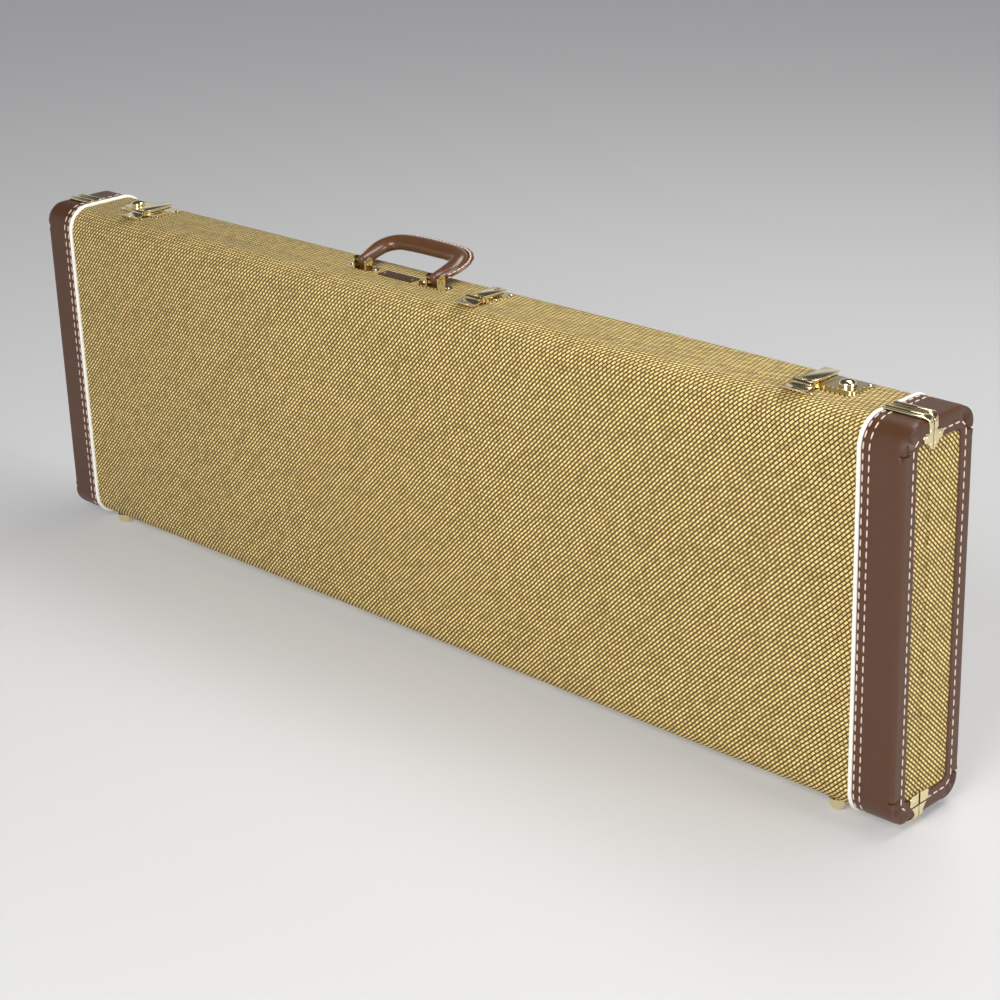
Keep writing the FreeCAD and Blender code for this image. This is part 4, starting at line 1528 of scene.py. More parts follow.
    def build(self) -> None:
        """Makes the four pieces of leather."""
        whole = self.blank()
        move_points(whole, self.pleated)
        with Bench.editing(whole):
            Bench.turn_outwards()
        Bench.face_outwards(whole)
        for half in Half:
            node = half.value + "_binding"
            split, away = split_of(half)
            piece = Bench.copy(whole, half.value + "_leather_right")
            Bench.cut_away(piece, (0, split, 0), (0, away, 0))
            Bench.finish(piece, "SOLIDIFY", thickness=self.thick, offset=-1.0, use_even_offset=True,
                         thickness_clamp=0.0)
            Bench.smooth(piece, 32.0)
            twin = Bench.mirrored(piece, half.value + "_leather_left")
            dress(piece, self.finishes.leather, half.value, Slot.LEATHER, node + "_right")
            dress(twin, self.finishes.leather, half.value, Slot.LEATHER, node + "_left")
        bpy.data.objects.remove(whole)


@dataclass
class Welts:
    """The white welt that stands between the tweed and the leather, at both ends of each half."""

    finishes: Finishes
    bindings: EndBindings
    radius: float = 2.35 * MM
    inset: float = 0.75 * MM
    corner_steps: int = 16
    sides: int = 4

    def build(self) -> None:
        """Bends a round cord to the outline, cuts it at the split and copies it to the left end."""
        leather = self.bindings
        path = leather.outline.shrunk(self.inset)
        whole = rounded_sheet("welt", path, leather.start - self.radius, self.corner_steps)
        with Bench.editing(whole):
            Bench.pick_all()
            bpy.ops.mesh.delete(type="ONLY_FACE")
        bpy.ops.object.convert(target="CURVE")
        whole.data.bevel_depth = self.radius
        whole.data.bevel_resolution = self.sides
        bpy.ops.object.convert(target="MESH")
        whole = bpy.context.active_object
        for half in Half:
            split, away = split_of(half)
            right = Bench.copy(whole, half.value + "_welt")
            Bench.cut_away(right, (0, split, 0), (0, away, 0), fill=True)
            Bench.smooth(right, 60.0)
            both = Bench.join([right, Bench.mirrored(right, "welt_left")], half.value + "_welt")
            dress(both, self.finishes.welt, half.value, Slot.PIPING, half.value + "_pipings")
        bpy.data.objects.remove(whole)


@dataclass
class EndPanels:
    """The tweed panels of the two ends, their edges turned in along the split."""

    finishes: Finishes
    corner: float = 8.0 * MM
    depth: float = 3.2 * MM
    turned_in: float = 1.5 * MM
    turn_steps: int = 3

    def build(self) -> None:
        """Makes the two panels of the right end and mirrors them to the left."""
        for half in Half:
            node = half.value + "_end_panel"
            low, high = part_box(node + "_right")
            low.x -= self.depth
            right = Bench.block(half.value + "_panel_right", low, high)
            split, _ = split_of(half)
            with Bench.editing(right):
                Bench.pick(right, "EDGE", lambda e: abs(e.verts[0].co.x - e.verts[1].co.x) > TINY
                           and abs(e.verts[0].co.y - split) > TINY)
                bpy.ops.mesh.bevel(offset=self.corner, segments=5, affect="EDGES")
                Bench.pick(right, "EDGE", lambda e: all(abs(v.co.x - high.x) < TINY for v in e.verts)
                           and all(abs(v.co.y - split) < TINY for v in e.verts))
                bpy.ops.mesh.bevel(offset=self.turned_in, segments=self.turn_steps, affect="EDGES")
            Bench.smooth(right)
            left = Bench.mirrored(right, half.value + "_panel_left")
            dress(right, self.finishes.panel, half.value, Slot.TWEED, node + "_right")
            dress(left, self.finishes.panel, half.value, Slot.TWEED, node + "_left")


@dataclass
class StitchRows:
    """Saddle stitches: two rows round each band and one round each end border."""

    finishes: Finishes
    bindings: EndBindings
    pitch: float = 9.9 * MM
    length: float = 6.8 * MM
    width: float = 1.7 * MM
    height: float = 1.1 * MM
    band_rows: tuple[float, ...] = (2.0 * MM, 8.5 * MM)
    border_row: float = 14.5 * MM
    clamp_half: float = 11.0 * MM
    border_clamp_half: float = 15.0 * MM
    sunk: float = 0.35 * MM

    @staticmethod
    def one_stitch(length: float, width: float, height: float) -> Piece:
        """One stitch at the origin, lying along X with its top to +Z.

        Args:
            length: its length.
            width: its width.
            height: its height.

        Returns:
            The piece.
        """
        Bench.clear()
        bpy.ops.mesh.primitive_uv_sphere_add(segments=8, ring_count=6, radius=1, rotation=(0, math.pi / 2, 0))
        piece = Bench.settle(bpy.context.active_object, "stitch")
        move_points(piece, lambda p: Vector((
            math.copysign(abs(p.x) ** 0.6, p.x) * length / 2, p.y * width / 2, p.z * height / 2)))
        return Bench.smooth(piece, 180.0)

    @staticmethod
    def lay(master: Piece, seat: Vector, along: Vector, up: Vector) -> Piece:
        """A copy of a stitch at a place, by its length and its top."""
        turn = Matrix((along, up.cross(along), up)).transposed().to_4x4()
        return Bench.copy(master, "stitch_copy", Matrix.Translation(seat) @ turn)

    def row(self, half: Half, name: str, outline: Outline, x: float, on_face: bool, gap: float) -> Piece:
        """A row of stitches along an outline.

        Args:
            half: the half of the case it is sewn to.
            name: the row's name.
            outline: the line it follows.
            x: where along the case it lies.
            on_face: whether it lies on the end face rather than round the band.
            gap: how near to the split it comes.

        Returns:
            The row as one piece.
        """
        master = self.one_stitch(self.length, self.width, self.height)
        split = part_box("lid_tweed")[1].y
        side = -1 if half is Half.LID else 1
        copies = []
        count = round(outline.half_length / self.pitch)
        for number in range(count):
            run = (number + 0.5) * outline.half_length / count
            for face in (1, -1):
                place, out = outline.at(run)
                place.y *= face
                out.y *= face
                if side * (place.y - split) < gap and abs(out.z) > 0.5:
                    continue
                if side * (place.y - split) < 0:
                    continue
                along = Vector((1, 0, 0)).cross(out)
                up = Vector((1, 0, 0)) if on_face else out
                seat = place + Vector((x, 0, 0)) + up * (self.height / 2 - self.sunk)
                copies.append(self.lay(master, seat, along, up))
        bpy.data.objects.remove(master)
        return Bench.join(copies, name)

    def build(self) -> None:
        """Sews all the rows, right end first, then the left as its mirror image."""
        leather = self.bindings
        for half in Half:
            rows = [self.row(half, "row", leather.outline, leather.start + offset, False, self.clamp_half)
                    for offset in self.band_rows]
            inner = leather.outline.shrunk(self.border_row)
            rows.append(self.row(half, "row", inner, leather.face, True, self.border_clamp_half))
            right = Bench.join(rows, half.value + "_stitches_right")
            left = Bench.mirrored(right, half.value + "_stitches_left")
            for piece in (right, left):
                dress(piece, self.finishes.thread, half.value, Slot.LEATHER)


# ---- hardware


@dataclass
class EndClamps:
    """The plated clamps over the ends: a ribbed strip on the band and a leaf-shaped plate on the end."""

    finishes: Finishes
    inner: float = 564.5 * MM
    strip: float = 10.4 * MM
    sheet: float = 1.1 * MM
    bend: float = 6.5 * MM
    bend_steps: int = 6
    soft: float = 0.35 * MM
    gap: float = 0.4 * MM
    neck: float = 12.0 * MM
    narrowing: float = 0.45
    rail_across: float = 0.55
    rail_start: float = 1.5 * MM
    rail_rise: float = 0.1 * MM
    rail_radius: float = 2.2 * MM
    rail_squash: tuple[float, float] = (1.15, 0.55)
    rail_soft: float = 0.5 * MM
    leaf_gap: float = 0.15 * MM
    dome_radius: float = 1.5 * MM
    dome_sunk: float = 0.2 * MM
    top_leaf: Pairs = (
        (0.0, 9.0), (4.6, 9.0), (4.2, 12.0), (5.6, 14.5), (9.5, 14.0), (13.0, 15.5), (14.6, 18.0),
        (12.6, 20.2), (13.2, 22.0), (10.0, 23.6), (8.0, 23.0), (7.4, 25.4), (5.2, 26.2), (4.6, 28.4),
        (2.0, 30.0), (0.0, 30.4))
    low_leaf: Pairs = (
        (0.0, 8.0), (5.0, 8.0), (7.6, 10.2), (9.4, 13.4), (11.6, 15.0), (0.0, 15.0))
    low_blocks: Pairs = (
        (0.9, 16.4), (12.6, 16.4), (13.8, 18.6), (13.0, 22.0), (13.8, 25.0), (11.0, 27.6), (6.0, 27.0),
        (0.9, 28.2))

    def __post_init__(self) -> None:
        """Reads the clamps' reach from the frame."""
        self.low, self.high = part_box("base_end_clamps")

    def strip_piece(self, half: Half, upper: bool) -> Piece:
        """One strip, bent from the band over the edge to the neck of the plate.

        Args:
            half: the half of the case.
            upper: the top clamp, or else the bottom one.

        Returns:
            The piece.
        """
        level, sign = self.level(upper)
        split, away = split_of(half)
        faces = [self.bent(level, sign, inset) for inset in (0.0, self.sheet)]
        outline = [point + Vector((0, split - away * self.gap, 0)) for point in faces[0] + faces[1][::-1]]
        piece = Bench.prism("strip", outline, (0, -away * (self.strip - self.gap), 0))
        move_points(piece, lambda p: self.pinched(p, split))
        Bench.soften_edges(piece, self.soft)
        return Bench.join([piece, self.rail(half, level, sign)], "strip")

    def level(self, upper: bool) -> tuple[float, int]:
        """The height of the top or the bottom clamp's outer face, and which way is into the case."""
        return (self.high.z, -1) if upper else (self.low.z, 1)

    def bent(self, level: float, sign: int, inset: float) -> list[Vector]:
        """One face of the bent strip, seen from the side.

        Args:
            level: the height of the outer face.
            sign: which way is into the case.
            inset: how deep the face lies under the outer one.

        Returns:
            The points, from the band to the neck.
        """
        corner = Vector((self.high.x - self.bend, 0, level + sign * self.bend))
        points = [Vector((self.inner, 0, level + sign * inset))]
        for step in range(self.bend_steps + 1):
            angle = step / self.bend_steps * math.pi / 2
            out = Vector((math.sin(angle), 0, -sign * math.cos(angle)))
            points.append(corner + out * (self.bend - inset))
        points.append(Vector((self.high.x - inset, 0, level + sign * self.neck)))
        return points

    def pinched(self, place: Vector, split: float) -> Vector:
        """Narrows the strip towards the neck.

        Args:
            place: the point of the plain strip.
            split: where the halves meet, in Y.

        Returns:
            The point's new place.
        """
        down = min(1.0, max(0.0, (place.x - self.high.x + self.bend) / self.bend))
        across = place.y - split
        if abs(across) > self.strip / 2:
            across *= 1 - self.narrowing * down
        return Vector((place.x, split + across, place.z))

    def rail(self, half: Half, level: float, sign: int) -> Piece:
        """A half-round rail along a strip.

        Args:
            half: the half of the case.
            level: the height of the outer face.
            sign: which way is into the case.

        Returns:
            The piece.
        """
        split, away = split_of(half)
        y = split - away * self.strip * self.rail_across
        start = Vector((self.inner + self.rail_start, y, level - sign * self.rail_rise))
        end = Vector((self.high.x - self.bend, y, start.z))
        bar = Bench.rod("rail", start, end, self.rail_radius, 16)
        bar.data.transform(Matrix.Translation(start) @ Matrix.Diagonal((1, *self.rail_squash, 1))
                           @ Matrix.Translation(-start))
        return Bench.soften_edges(bar, self.rail_soft)

    def plate(self, half: Half, leaf: Sequence[tuple[float, float]], upper: bool) -> Piece:
        """Half of a plate, from its outline in millimetres across and along.

        Args:
            half: the half of the case.
            leaf: the plate's corners in millimetres.
            upper: the top clamp, or else the bottom one.

        Returns:
            The piece.
        """
        level, sign = self.level(upper)
        split, away = split_of(half)
        outline = [Vector((self.high.x - self.sheet, split - away * (across * MM + self.leaf_gap),
                           level + sign * along * MM)) for across, along in leaf]
        piece = Bench.prism("plate", outline, (self.sheet - 0.1 * MM, 0, 0))
        return Bench.soften_edges(piece, self.soft)

    def dome(self, half: Half, across: float, along: float, upper: bool) -> Piece:
        """A small round rivet head on a plate.

        Args:
            half: the half of the case.
            across: millimetres from the split.
            along: millimetres from the outer face.
            upper: the top clamp, or else the bottom one.

        Returns:
            The piece.
        """
        level, sign = self.level(upper)
        split, away = split_of(half)
        centre = Vector((self.high.x - self.dome_sunk, split - away * across * MM, level + sign * along * MM))
        Bench.clear()
        bpy.ops.mesh.primitive_uv_sphere_add(segments=16, ring_count=10, radius=self.dome_radius,
                                             location=centre)
        piece = bpy.context.active_object
        piece.scale = (0.5, 1, 1)
        Bench.settle(piece, "dome")
        return Bench.smooth(piece, 180.0)

    def build(self) -> None:
        """Makes the clamps of both halves at both ends."""
        for half in Half:
            parts = [self.strip_piece(half, True), self.strip_piece(half, False),
                     self.plate(half, self.top_leaf, True), self.plate(half, self.low_leaf, False),
                     self.plate(half, self.low_blocks, False), self.dome(half, 9.0, 18.5, True),
                     self.dome(half, 3.0, 26.0, True), self.dome(half, 8.5, 22.0, False)]
            right = Bench.join(parts, half.value + "_clamps")
            both = Bench.join([right, Bench.mirrored(right, "clamps_left")], half.value + "_clamps")
            dress(both, self.finishes.gold, half.value, Slot.GOLD, half.value + "_end_clamps")


@dataclass
class Latch:
    """One draw latch: a sloping lever on its barrel and the dished tab it pulls."""

    finishes: Finishes
    name: str
    node: str
    body: str
    axis: tuple[float, float] = (-16.0 * MM, 394.1 * MM)
    rear_rise: float = 0.2 * MM
    cap: float = 1.0 * MM
    overhang: float = 0.7 * MM
    wall: float = 1.3 * MM
    arm: float = 0.9 * MM
    wire: float = 1.1 * MM
    barrel: float = 2.9 * MM
    tab: float = 24.0 * MM
    soft: float = 0.3 * MM
    drops: Pairs = (
        (-19.6, 4.6), (-22.0, 3.8), (-26.0, 3.3), (-30.0, 3.6), (-34.0, 4.6), (-37.0, 5.8), (-39.4, 6.9))

    def lever(self) -> Piece:
        """The lever: two wedge cheeks under a bright top, with its barrel in front.

        Returns:
            The piece.
        """
        low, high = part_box(self.node)
        axis_y, axis_z = self.axis
        front, rear, under = axis_y + 6.5 * MM, high.y, low.z + 0.3 * MM
        crown = axis_z + 1.6 * MM
        back = crown + self.rear_rise
        width = high.x - low.x
        cheek = [(low.x, front, under), (low.x, rear - 1.5 * MM, under + 1.2 * MM), (low.x, rear, back),
                 (low.x, front, crown)]
        wedge = Bench.prism("wedge", cheek, (width, 0, 0))
        inner = low.x + self.wall
        hollow = [(inner, front + 5 * MM, under - 1 * MM), (inner, rear + 1 * MM, under - 1 * MM),
                  (inner, rear + 1 * MM, back - 1.2 * MM), (inner, front + 5 * MM, crown - 1.0 * MM)]
        Bench.carve(wedge, Bench.prism("hollow", hollow, (width - 2 * self.wall, 0, 0)))
        Bench.soften_edges(wedge, self.soft)
        left = low.x - self.overhang
        top = [(left, front - 0.5 * MM, crown), (left, rear + 0.8 * MM, back),
               (left, rear + 0.8 * MM, back + self.cap), (left, front - 0.5 * MM, crown + self.cap)]
        plate = Bench.prism("top", top, (width + 2 * self.overhang, 0, 0))
        Bench.soften_edges(plate, self.soft)
        rod = Bench.rod("barrel", (low.x - 1.6 * MM, axis_y, axis_z), (high.x + 1.6 * MM, axis_y, axis_z),
                        self.barrel, 28)
        with Bench.editing(rod):
            Bench.pick(rod, "FACE", lambda f: abs(f.normal.x) > 0.9)
            bpy.ops.mesh.inset(thickness=0.7 * MM, depth=0, use_individual=True)
            bpy.ops.mesh.inset(thickness=0.1 * MM, depth=-1.4 * MM, use_individual=True)
        Bench.soften_edges(rod, 0.2 * MM)
        arms = []
        for x in (low.x + self.arm, high.x - self.arm):
            arm = Bench.block("arm", (x - self.arm, axis_y, axis_z - 2.0 * MM),
                              (x + self.arm, front + 1 * MM, crown))
            arms.append(Bench.soften_edges(arm, self.soft))
        wire = Bench.rod("wire", (low.x, axis_y + 3.9 * MM, axis_z - 0.6 * MM),
                         (high.x, axis_y + 3.9 * MM, axis_z - 0.6 * MM), self.wire, 16)
        arms.append(Bench.smooth(wire))
        return Bench.join([wedge, plate, rod, *arms], self.name + "_lever")

    def catch(self) -> Piece:
        """The tab on the lid: a tongue that dips and then curls up at its front edge.

        Returns:
            The piece.
        """
        low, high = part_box(self.node)
        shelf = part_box("catch_plates")[0]
        middle = (low.x + high.x) / 2
        z = shelf.z + 0.2 * MM
        upper = [(middle - self.tab / 2, y * MM, z + rise * MM) for y, rise in self.drops]
        lower = [(middle - self.tab / 2, y * MM, z + (rise - 1.0) * MM) for y, rise in self.drops]
        piece = Bench.prism("tab", upper + lower[::-1], (self.tab, 0, 0))
        with Bench.editing(piece):
            Bench.pick(piece, "EDGE", lambda e: abs(e.verts[0].co.y - e.verts[1].co.y) < TINY
                       and e.calc_length() < 3 * MM and e.verts[0].co.y < -39 * MM)
            bpy.ops.mesh.bevel(offset=5.0 * MM, segments=5, affect="EDGES")
        Bench.soften_edges(piece, 0.25 * MM)
        foot = Bench.block("foot", (middle - self.tab / 2 + 2 * MM, -29 * MM, z - 0.6 * MM),
                           (middle + self.tab / 2 - 2 * MM, -20 * MM, z + 2.6 * MM))
        Bench.soften_edges(foot, 0.3 * MM)
        claw = Bench.rod("claw", (middle - 5 * MM, -20.4 * MM, z + 2.9 * MM),
                         (middle + 5 * MM, -20.4 * MM, z + 2.9 * MM), 1.3 * MM, 16)
        Bench.smooth(claw)
        return Bench.join([piece, foot, claw], self.name + "_catch")

    def build(self) -> Piece:
        """Makes the lever, and hands back the catch for the lid."""
        dress(self.lever(), self.finishes.gold, self.body, Slot.GOLD, self.node)
        return self.catch()


@dataclass
class Latches:
    """The three latches and the knobs beside the outer two."""

    finishes: Finishes
    knob_sides: int = 40
    collar: float = 0.14
    clearance: float = 0.1 * MM
    dome: Pairs = ((0.05, 0.16), (0.12, 0.18), (0.20, 0.13), (0.28, 0.08), (0.22, 0.03))

    def knob(self, name: str, node: str, body: str) -> None:
        """A domed knob with a collar, clear of the housing it slides on.

        Args:
            name: the name it gets.
            node: the knob's CAD node.
            body: the body it rides on.
        """
        low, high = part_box(node)
        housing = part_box(node.replace("knob", "housing"))[1]
        low.z = max(low.z, housing.z + self.clearance)
        centre = (low + high) / 2
        radius = (high.x - low.x) / 2
        Bench.clear()
        bpy.ops.mesh.primitive_cylinder_add(vertices=self.knob_sides, radius=radius * (1 - self.collar),
                                            depth=high.z - low.z, location=centre)
        piece = Bench.settle(bpy.context.active_object, name)
        height = high.z - low.z
        with Bench.editing(piece):
            Bench.pick(piece, "FACE", lambda f: f.normal.z > 0.9)
            bpy.ops.transform.translate(value=(0, 0, -height * 0.72))
            bpy.ops.mesh.inset(thickness=-radius * self.collar, depth=0)
            Bench.extrude((0, 0, height * 0.14))
            for thickness, rise in self.dome:
                bpy.ops.mesh.inset(thickness=radius * thickness, depth=height * rise)
        Bench.smooth(piece, 50.0)
        dress(piece, self.finishes.gold, body, Slot.GOLD, node)

    def build(self) -> None:
        """Makes all latches."""
        rows = (("left", "latch_lever_left", "lever_left"), ("right", "latch_lever_right", "lever_right"),
                ("centre", "lock_lever", "lock_lever"))
        catches = [Latch(self.finishes, name, node, body).build() for name, node, body in rows]
        dress(Bench.join(catches, "lid_catches"), self.finishes.gold, "lid", Slot.GOLD, "catch_plates")
        self.knob("knob_left", "slide_knob_left", "knob_left")
        self.knob("knob_right", "slide_knob_right", "knob_right")


@dataclass
class Grip:
    """The leather handle: a stuffed loop with a stitched flange round its outside."""

    finishes: Finishes
    lean: float = 74.0
    sides: int = 20
    stations: tuple[tuple[float, float, float, float], ...] = (
        (54.5, -5.0, 5.6, 6.3), (54.5, 0.0, 6.0, 6.6), (54.7, 6.0, 6.2, 6.6), (55.6, 12.0, 7.4, 6.6),
        (56.6, 19.0, 8.6, 7.0), (57.0, 26.0, 9.4, 7.4), (56.0, 32.5, 9.9, 7.6), (53.0, 38.5, 10.2, 7.7),
        (47.5, 43.5, 10.3, 7.8), (40.0, 46.6, 10.3, 7.8), (30.0, 48.0, 10.4, 7.9), (15.0, 48.6, 10.5, 8.0),
        (0.0, 48.8, 10.6, 8.0))
    flange_out: float = 5.4 * MM
    flange_half: float = 1.3 * MM
    flange_from: int = 3
    stitch_pitch: float = 5.6 * MM
    stitch_size: tuple[float, float, float] = (5.2 * MM, 2.0 * MM, 1.3 * MM)
    stitch_rise: float = 0.25 * MM
    stitch_line: float = 0.4

    def __post_init__(self) -> None:
        """Finds the pivot and the two directions of the handle's plane."""
        low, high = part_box("handle_pins")
        self.pivot = (low + high) / 2
        angle = math.radians(self.lean)
        self.up = Vector((0, math.sin(angle), math.cos(angle)))
        self.face = Vector((0, -math.cos(angle), math.sin(angle)))

    def path(self) -> list[tuple[Vector, Vector, float, float]]:
        """Centre, outward direction, half width and half thickness at every station.

        Returns:
            Centre, outward direction, half width and half thickness of each station.
        """
        right = [Vector((x, v, 0)) * MM for x, v, _, _ in self.stations]
        sizes = [(a * MM, b * MM) for _, _, a, b in self.stations]
        flat = [Vector((-p.x, p.y, 0)) for p in right[:-1]] + right[::-1]
        sizes = sizes[:-1] + sizes[::-1]
        result = []
        for number, point in enumerate(flat):
            before = flat[max(0, number - 1)]
            after = flat[min(len(flat) - 1, number + 1)]
            along = (after - before).normalized()
            out = Vector((-along.y, along.x, 0))
            centre = self.pivot + Vector((point.x, 0, 0)) + self.up * point.y
            result.append((centre, Vector((out.x, 0, 0)) + self.up * out.y, *sizes[number]))
        return result

    def loft(self, name: str, rings: Sequence[Sequence[Vector]]) -> Piece:
        """Joins closed rings of points into one skin and caps its ends.

        Args:
            name: the name it gets.
            rings: the closed rings of points, end to end.

        Returns:
            The piece.
        """
        hoops = []
        for ring in rings:
            Bench.clear()
            bpy.ops.mesh.primitive_circle_add(vertices=len(ring), radius=1)
            hoop = bpy.context.active_object
            for vertex, place in zip(hoop.data.vertices, ring):
                vertex.co = place
            hoops.append(Bench.settle(hoop, "hoop"))
        piece = Bench.join(hoops, name)
        with Bench.editing(piece):
            Bench.pick_all()
            bpy.ops.mesh.bridge_edge_loops()
            for ring in (rings[0], rings[-1]):
                Bench.pick(piece, "VERT", lambda v: any((v.co - p).length < TINY for p in ring))
                bpy.ops.mesh.edge_face_add()
            Bench.turn_outwards()
        return piece

    def build(self) -> None:
        """Makes the stuffed loop, its flange and its stitches."""
        path = self.path()
        rings = []
        for centre, out, wide, thick in path:
            rings.append([centre + out * wide * math.cos(turn) + self.face * thick * math.sin(turn)
                          for turn in (2 * math.pi * side / self.sides for side in range(self.sides))])
        body = self.loft("grip", rings)
        Bench.finish(body, "SUBSURF", levels=1)
        Bench.smooth(body, 60.0)
        edge = path[self.flange_from:-self.flange_from]
        flange_rings = []
        for centre, out, wide, thick in edge:
            near, far = wide * 0.8, wide + self.flange_out
            half = self.flange_half
            profile = ((near, half), (far - half, half), (far, 0.0), (far - half, -half), (near, -half))
            flange_rings.append([centre + out * a + self.face * b for a, b in profile])
        flange = self.loft("flange", flange_rings)
        Bench.soften_edges(flange, 0.3 * MM)
        grip = Bench.join([body, flange], "grip")
        dress(grip, self.finishes.grip, "handle", Slot.LEATHER, "handle_grip")
        self.sew(edge)

    def sew(self, edge: Sequence[tuple[Vector, Vector, float, float]]) -> None:
        """Lays stitches along both faces of the flange.

        Args:
            edge: the stations of the flange.
        """
        line = [centre + out * (wide + self.flange_out * self.stitch_line) for centre, out, wide, _ in edge]
        master = StitchRows.one_stitch(*self.stitch_size)
        copies = []
        carried = 0.0
        for start, end in zip(line, line[1:]):
            length = (end - start).length
            along = (end - start).normalized()
            while carried < length:
                for side in (1, -1):
                    up = self.face * side
                    seat = start + along * carried + up * (self.flange_half + self.stitch_rise)
                    copies.append(StitchRows.lay(master, seat, along, up))
                carried += self.stitch_pitch
            carried -= length
        bpy.data.objects.remove(master)
        dress(Bench.join(copies, "grip_stitches"), self.finishes.thread, "handle", Slot.LEATHER)


# ---- soft interior


@dataclass
class Upholstery:
    """The plush-covered padding inside the case."""

    finishes: Finishes
    voxel: float = 4.5 * MM
    cushion_voxel: float = 5.5 * MM
    shrink: float = 0.8 * MM
    swell_cap: float = 5.0 * MM
    pressure: float = 4.0
    frames: int = 20
    quilt: float = 64.0 * MM
    seam_half: float = 5.0 * MM
    seam_deep: float = 2.6 * MM

    def block_pad(self, node: str, body: str) -> None:
        """A firm foam pad: the CAD solid with its edges rounded by its covering.

        Args:
            node: the CAD node it stands for.
            body: the body it rides on.
        """
        piece = Bench.from_node(node, node + "_soft")
        Bench.finish(piece, "REMESH", mode="VOXEL", voxel_size=self.voxel, use_smooth_shade=True)
        Bench.finish(piece, "SMOOTH", factor=0.5, iterations=5)
        Bench.finish(piece, "SUBSURF", levels=1)
        Bench.smooth(piece, 180.0)
        dress(piece, self.finishes.plush, body, Slot.PLUSH, node)

    def cushion(self, node: str, body: str, front: int) -> None:
        """A stuffed, quilted cushion blown up by a cloth simulation.

        Args:
            node: the CAD node it stands for.
            body: the body it rides on.
            front: the side it swells to, as the sign of Y.
        """
        low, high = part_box(node)
        inset = Vector((self.shrink, self.shrink, self.shrink))
        piece = Bench.block(node + "_soft", low + inset, high - inset)
        Bench.soften_edges(piece, 2.4 * MM, 3)
        Bench.finish(piece, "REMESH", mode="VOXEL", voxel_size=self.cushion_voxel, use_smooth_shade=True)
        self.blow_up(piece, low, high)
        Bench.finish(piece, "SUBSURF", levels=1)
        face = high.y if front > 0 else low.y
        move_points(piece, lambda p: self.quilted(p, low, high, face, front))
        Bench.smooth(piece, 180.0)
        dress(piece, self.finishes.plush, body, Slot.PLUSH, node)

    def blow_up(self, piece: Piece, low: Vector, high: Vector) -> None:
        """Runs the cloth simulation and keeps each point inside the space the pad may fill.

        Args:
            piece: the piece worked on.
            low: the lowest corner it may reach.
            high: the highest corner it may reach.
        """
        start = [vertex.co.copy() for vertex in piece.data.vertices]
        cloth = piece.modifiers.new("cloth", "CLOTH")
        cloth.settings.use_pressure = True
        cloth.settings.uniform_pressure_force = self.pressure
        cloth.settings.effector_weights.gravity = 0
        cloth.settings.quality = 4
        cloth.point_cache.frame_end = self.frames
        Bench.take(piece)
        for number in range(1, self.frames + 1):
            bpy.context.scene.frame_set(number)
        bpy.ops.object.modifier_apply(modifier=cloth.name)
        bpy.context.scene.frame_set(1)
        for vertex, home in zip(piece.data.vertices, start):
            move = vertex.co - home
            if move.length > self.swell_cap:
                vertex.co = home + move.normalized() * self.swell_cap
            for axis in range(3):
                vertex.co[axis] = min(max(vertex.co[axis], low[axis]), high[axis])

    def quilted(self, place: Vector, low: Vector, high: Vector, face: float, front: int) -> Vector:
        """Presses diagonal seams into the cushion's face.

        Args:
            place: the coordinates or point.
            low: the cushion's lowest corner.
            high: not used.
            face: the face that is pressed, in Y.
            front: the side it faces, as the sign of Y.

        Returns:
            The point's new place.
        """
        near = max(0.0, 1 - abs(place.y - face) / (5 * MM))
        across, along = place.x - low.x, place.z - low.z
        deep = 0.0
        for run in ((across + along), (across - along)):
            off = abs((run / self.quilt + 0.5) % 1.0 - 0.5) * self.quilt / math.sqrt(2)
            deep = max(deep, math.exp(-(off / self.seam_half) ** 2))
        return Vector((place.x, place.y - front * deep * near * self.seam_deep, place.z))

    def build(self) -> None:
        """Makes every pad and cushion."""
        for node in ("body_pad_upper", "body_pad_lower", "neck_pad_lower", "head_pad_upper", "neck_rests"):
            self.block_pad(node, "base")
        self.block_pad("pocket_box", "base")
        self.block_pad("pocket_lid", "pocket_lid")
        self.cushion("bay_cushion", "base", -1)
        self.cushion("lid_cushion", "lid", 1)


# ---- studio


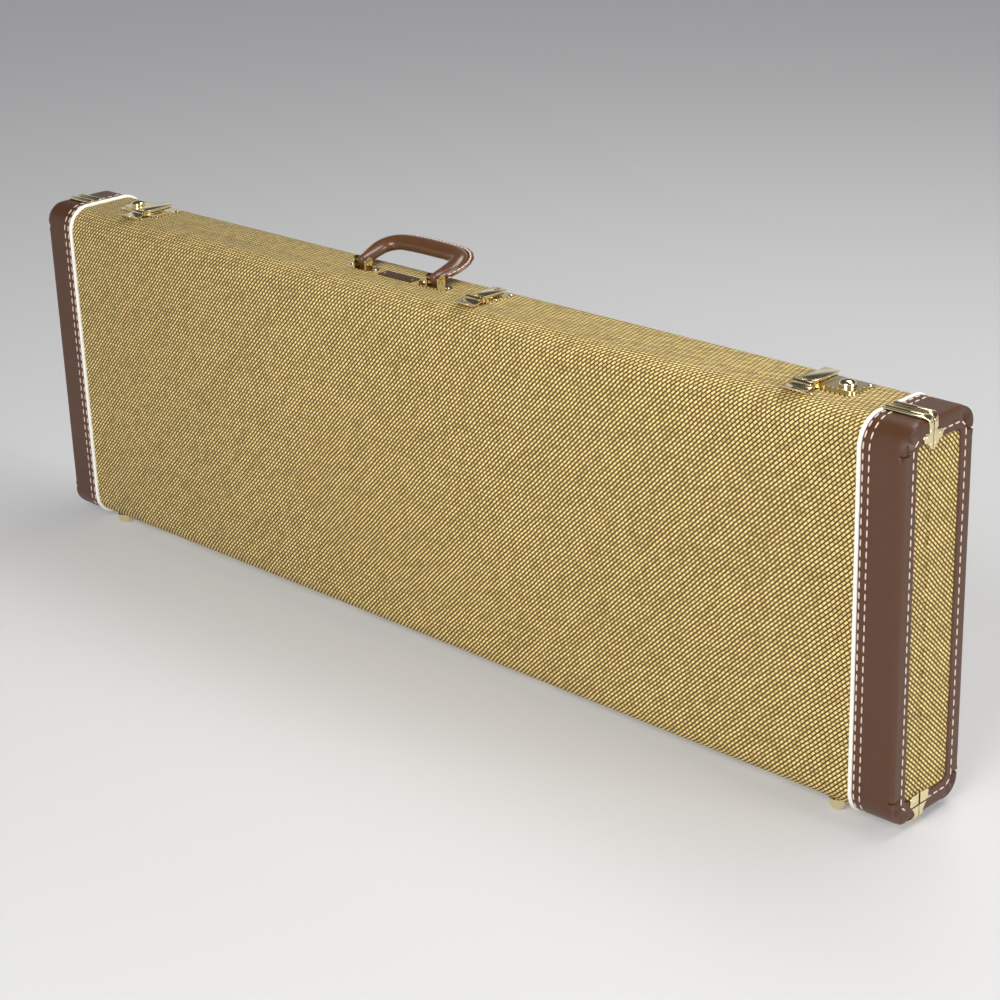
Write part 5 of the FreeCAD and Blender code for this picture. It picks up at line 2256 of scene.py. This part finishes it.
@dataclass
class Studio:
    """A plain floor, soft lights and the camera."""

    aim: tuple[float, float, float] = (0.05205, 0.02532, 0.16204)
    azimuth: float = 45.16
    elevation: float = 21.668
    roll: float = -1.918
    distance: float = 2.4444
    lens: float = 84.08
    floor_size: float = 40.0
    floor_veil: float = 0.7
    dark_from: float = 0.20
    dark_to: float = 0.42
    world_strength: float = 0.78

    SOFTBOXES = (("key softbox", (0.9, -2.5, 1.9), (1.6, 1.2), 68.0),
                 ("top softbox", (0.5, 0.9, 2.4), (2.4, 0.8), 36.0),
                 ("end softbox", (2.7, 0.3, 1.0), (0.9, 1.2), 24.0))

    def floor(self) -> None:
        """A wide pale floor, thin as a veil so that the lid shows through it when it drops below."""
        Bench.clear()
        bpy.ops.mesh.primitive_plane_add(size=self.floor_size, location=(0, 0, 0))
        piece = Bench.settle(bpy.context.active_object, "floor")
        material = bpy.data.materials.new("pale floor")
        material.use_nodes = True
        shader = material.node_tree.nodes["Principled BSDF"]
        shader.inputs["Base Color"].default_value = (0.80, 0.79, 0.77, 1)
        shader.inputs["Roughness"].default_value = 0.8
        shader.inputs["Alpha"].default_value = self.floor_veil
        piece.data.materials.append(material)

    def world(self) -> None:
        """Pale light from all round, dark overhead for the metal to show."""
        world = bpy.data.worlds.new("pale surround")
        bpy.context.scene.world = world
        world.use_nodes = True
        graph = Graph(world.node_tree)
        split = graph.add("ShaderNodeSeparateXYZ")
        graph.feed(split.inputs[0], graph.add("ShaderNodeTexCoord").outputs["Generated"])
        dim = graph.step(split.outputs[2], self.dark_from, self.dark_to)
        colour = graph.mix(dim, (0.82, 0.83, 0.86), (0.10, 0.10, 0.11))
        background = world.node_tree.nodes["Background"]
        graph.feed(background.inputs["Color"], colour)
        background.inputs["Strength"].default_value = self.world_strength

    def softbox(self, name: str, place: Sequence[float], size: Sequence[float], power: float) -> None:
        """An area light aimed at the case's middle.

        Args:
            name: the name it gets.
            place: where it hangs.
            size: its width and height.
            power: its power in watts.
        """
        low, high = CAD_BOX
        light = bpy.data.lights.new(name, "AREA")
        light.shape = "RECTANGLE"
        light.size, light.size_y = size
        light.energy = power
        lamp = bpy.data.objects.new(name, light)
        bpy.context.scene.collection.objects.link(lamp)
        lamp.location = place
        lamp.rotation_euler = ((low + high) / 2 - Vector(place)).to_track_quat("-Z", "Y").to_euler()

    def camera(self) -> None:
        """A long lens from the front right and above."""
        azimuth, elevation = math.radians(self.azimuth), math.radians(self.elevation)
        back = Vector((math.sin(azimuth) * math.cos(elevation), -math.cos(azimuth) * math.cos(elevation),
                       math.sin(elevation)))
        camera = bpy.data.cameras.new("camera")
        camera.lens = self.lens
        eye = bpy.data.objects.new("camera", camera)
        bpy.context.scene.collection.objects.link(eye)
        roll = Matrix.Rotation(math.radians(self.roll), 4, "Z").to_quaternion()
        turn = (-back).to_track_quat("-Z", "Y") @ roll
        place = Matrix.Translation(Vector(self.aim) + back * self.distance)
        eye.matrix_world = place @ turn.to_matrix().to_4x4()
        bpy.context.scene.camera = eye

    def build(self) -> None:
        """Sets up floor, lights and camera."""
        bpy.context.scene.view_settings.view_transform = "Standard"
        self.floor()
        self.world()
        for name, place, size, power in self.SOFTBOXES:
            self.softbox(name, place, size, power)
        self.camera()


def main() -> None:
    """Builds the case's looks, in order."""
    logging.basicConfig(level=logging.INFO, format="%(message)s")
    finishes = Finishes()
    finishes.dress_nodes()
    PlywoodShells(finishes).build()
    ClothCovers(finishes).build()
    bindings = EndBindings(finishes)
    bindings.build()
    Welts(finishes, bindings).build()
    EndPanels(finishes).build()
    StitchRows(finishes, bindings).build()
    EndClamps(finishes).build()
    Latches(finishes).build()
    Grip(finishes).build()
    Upholstery(finishes).build()
    Studio().build()


if __name__ == "__main__":
    main()
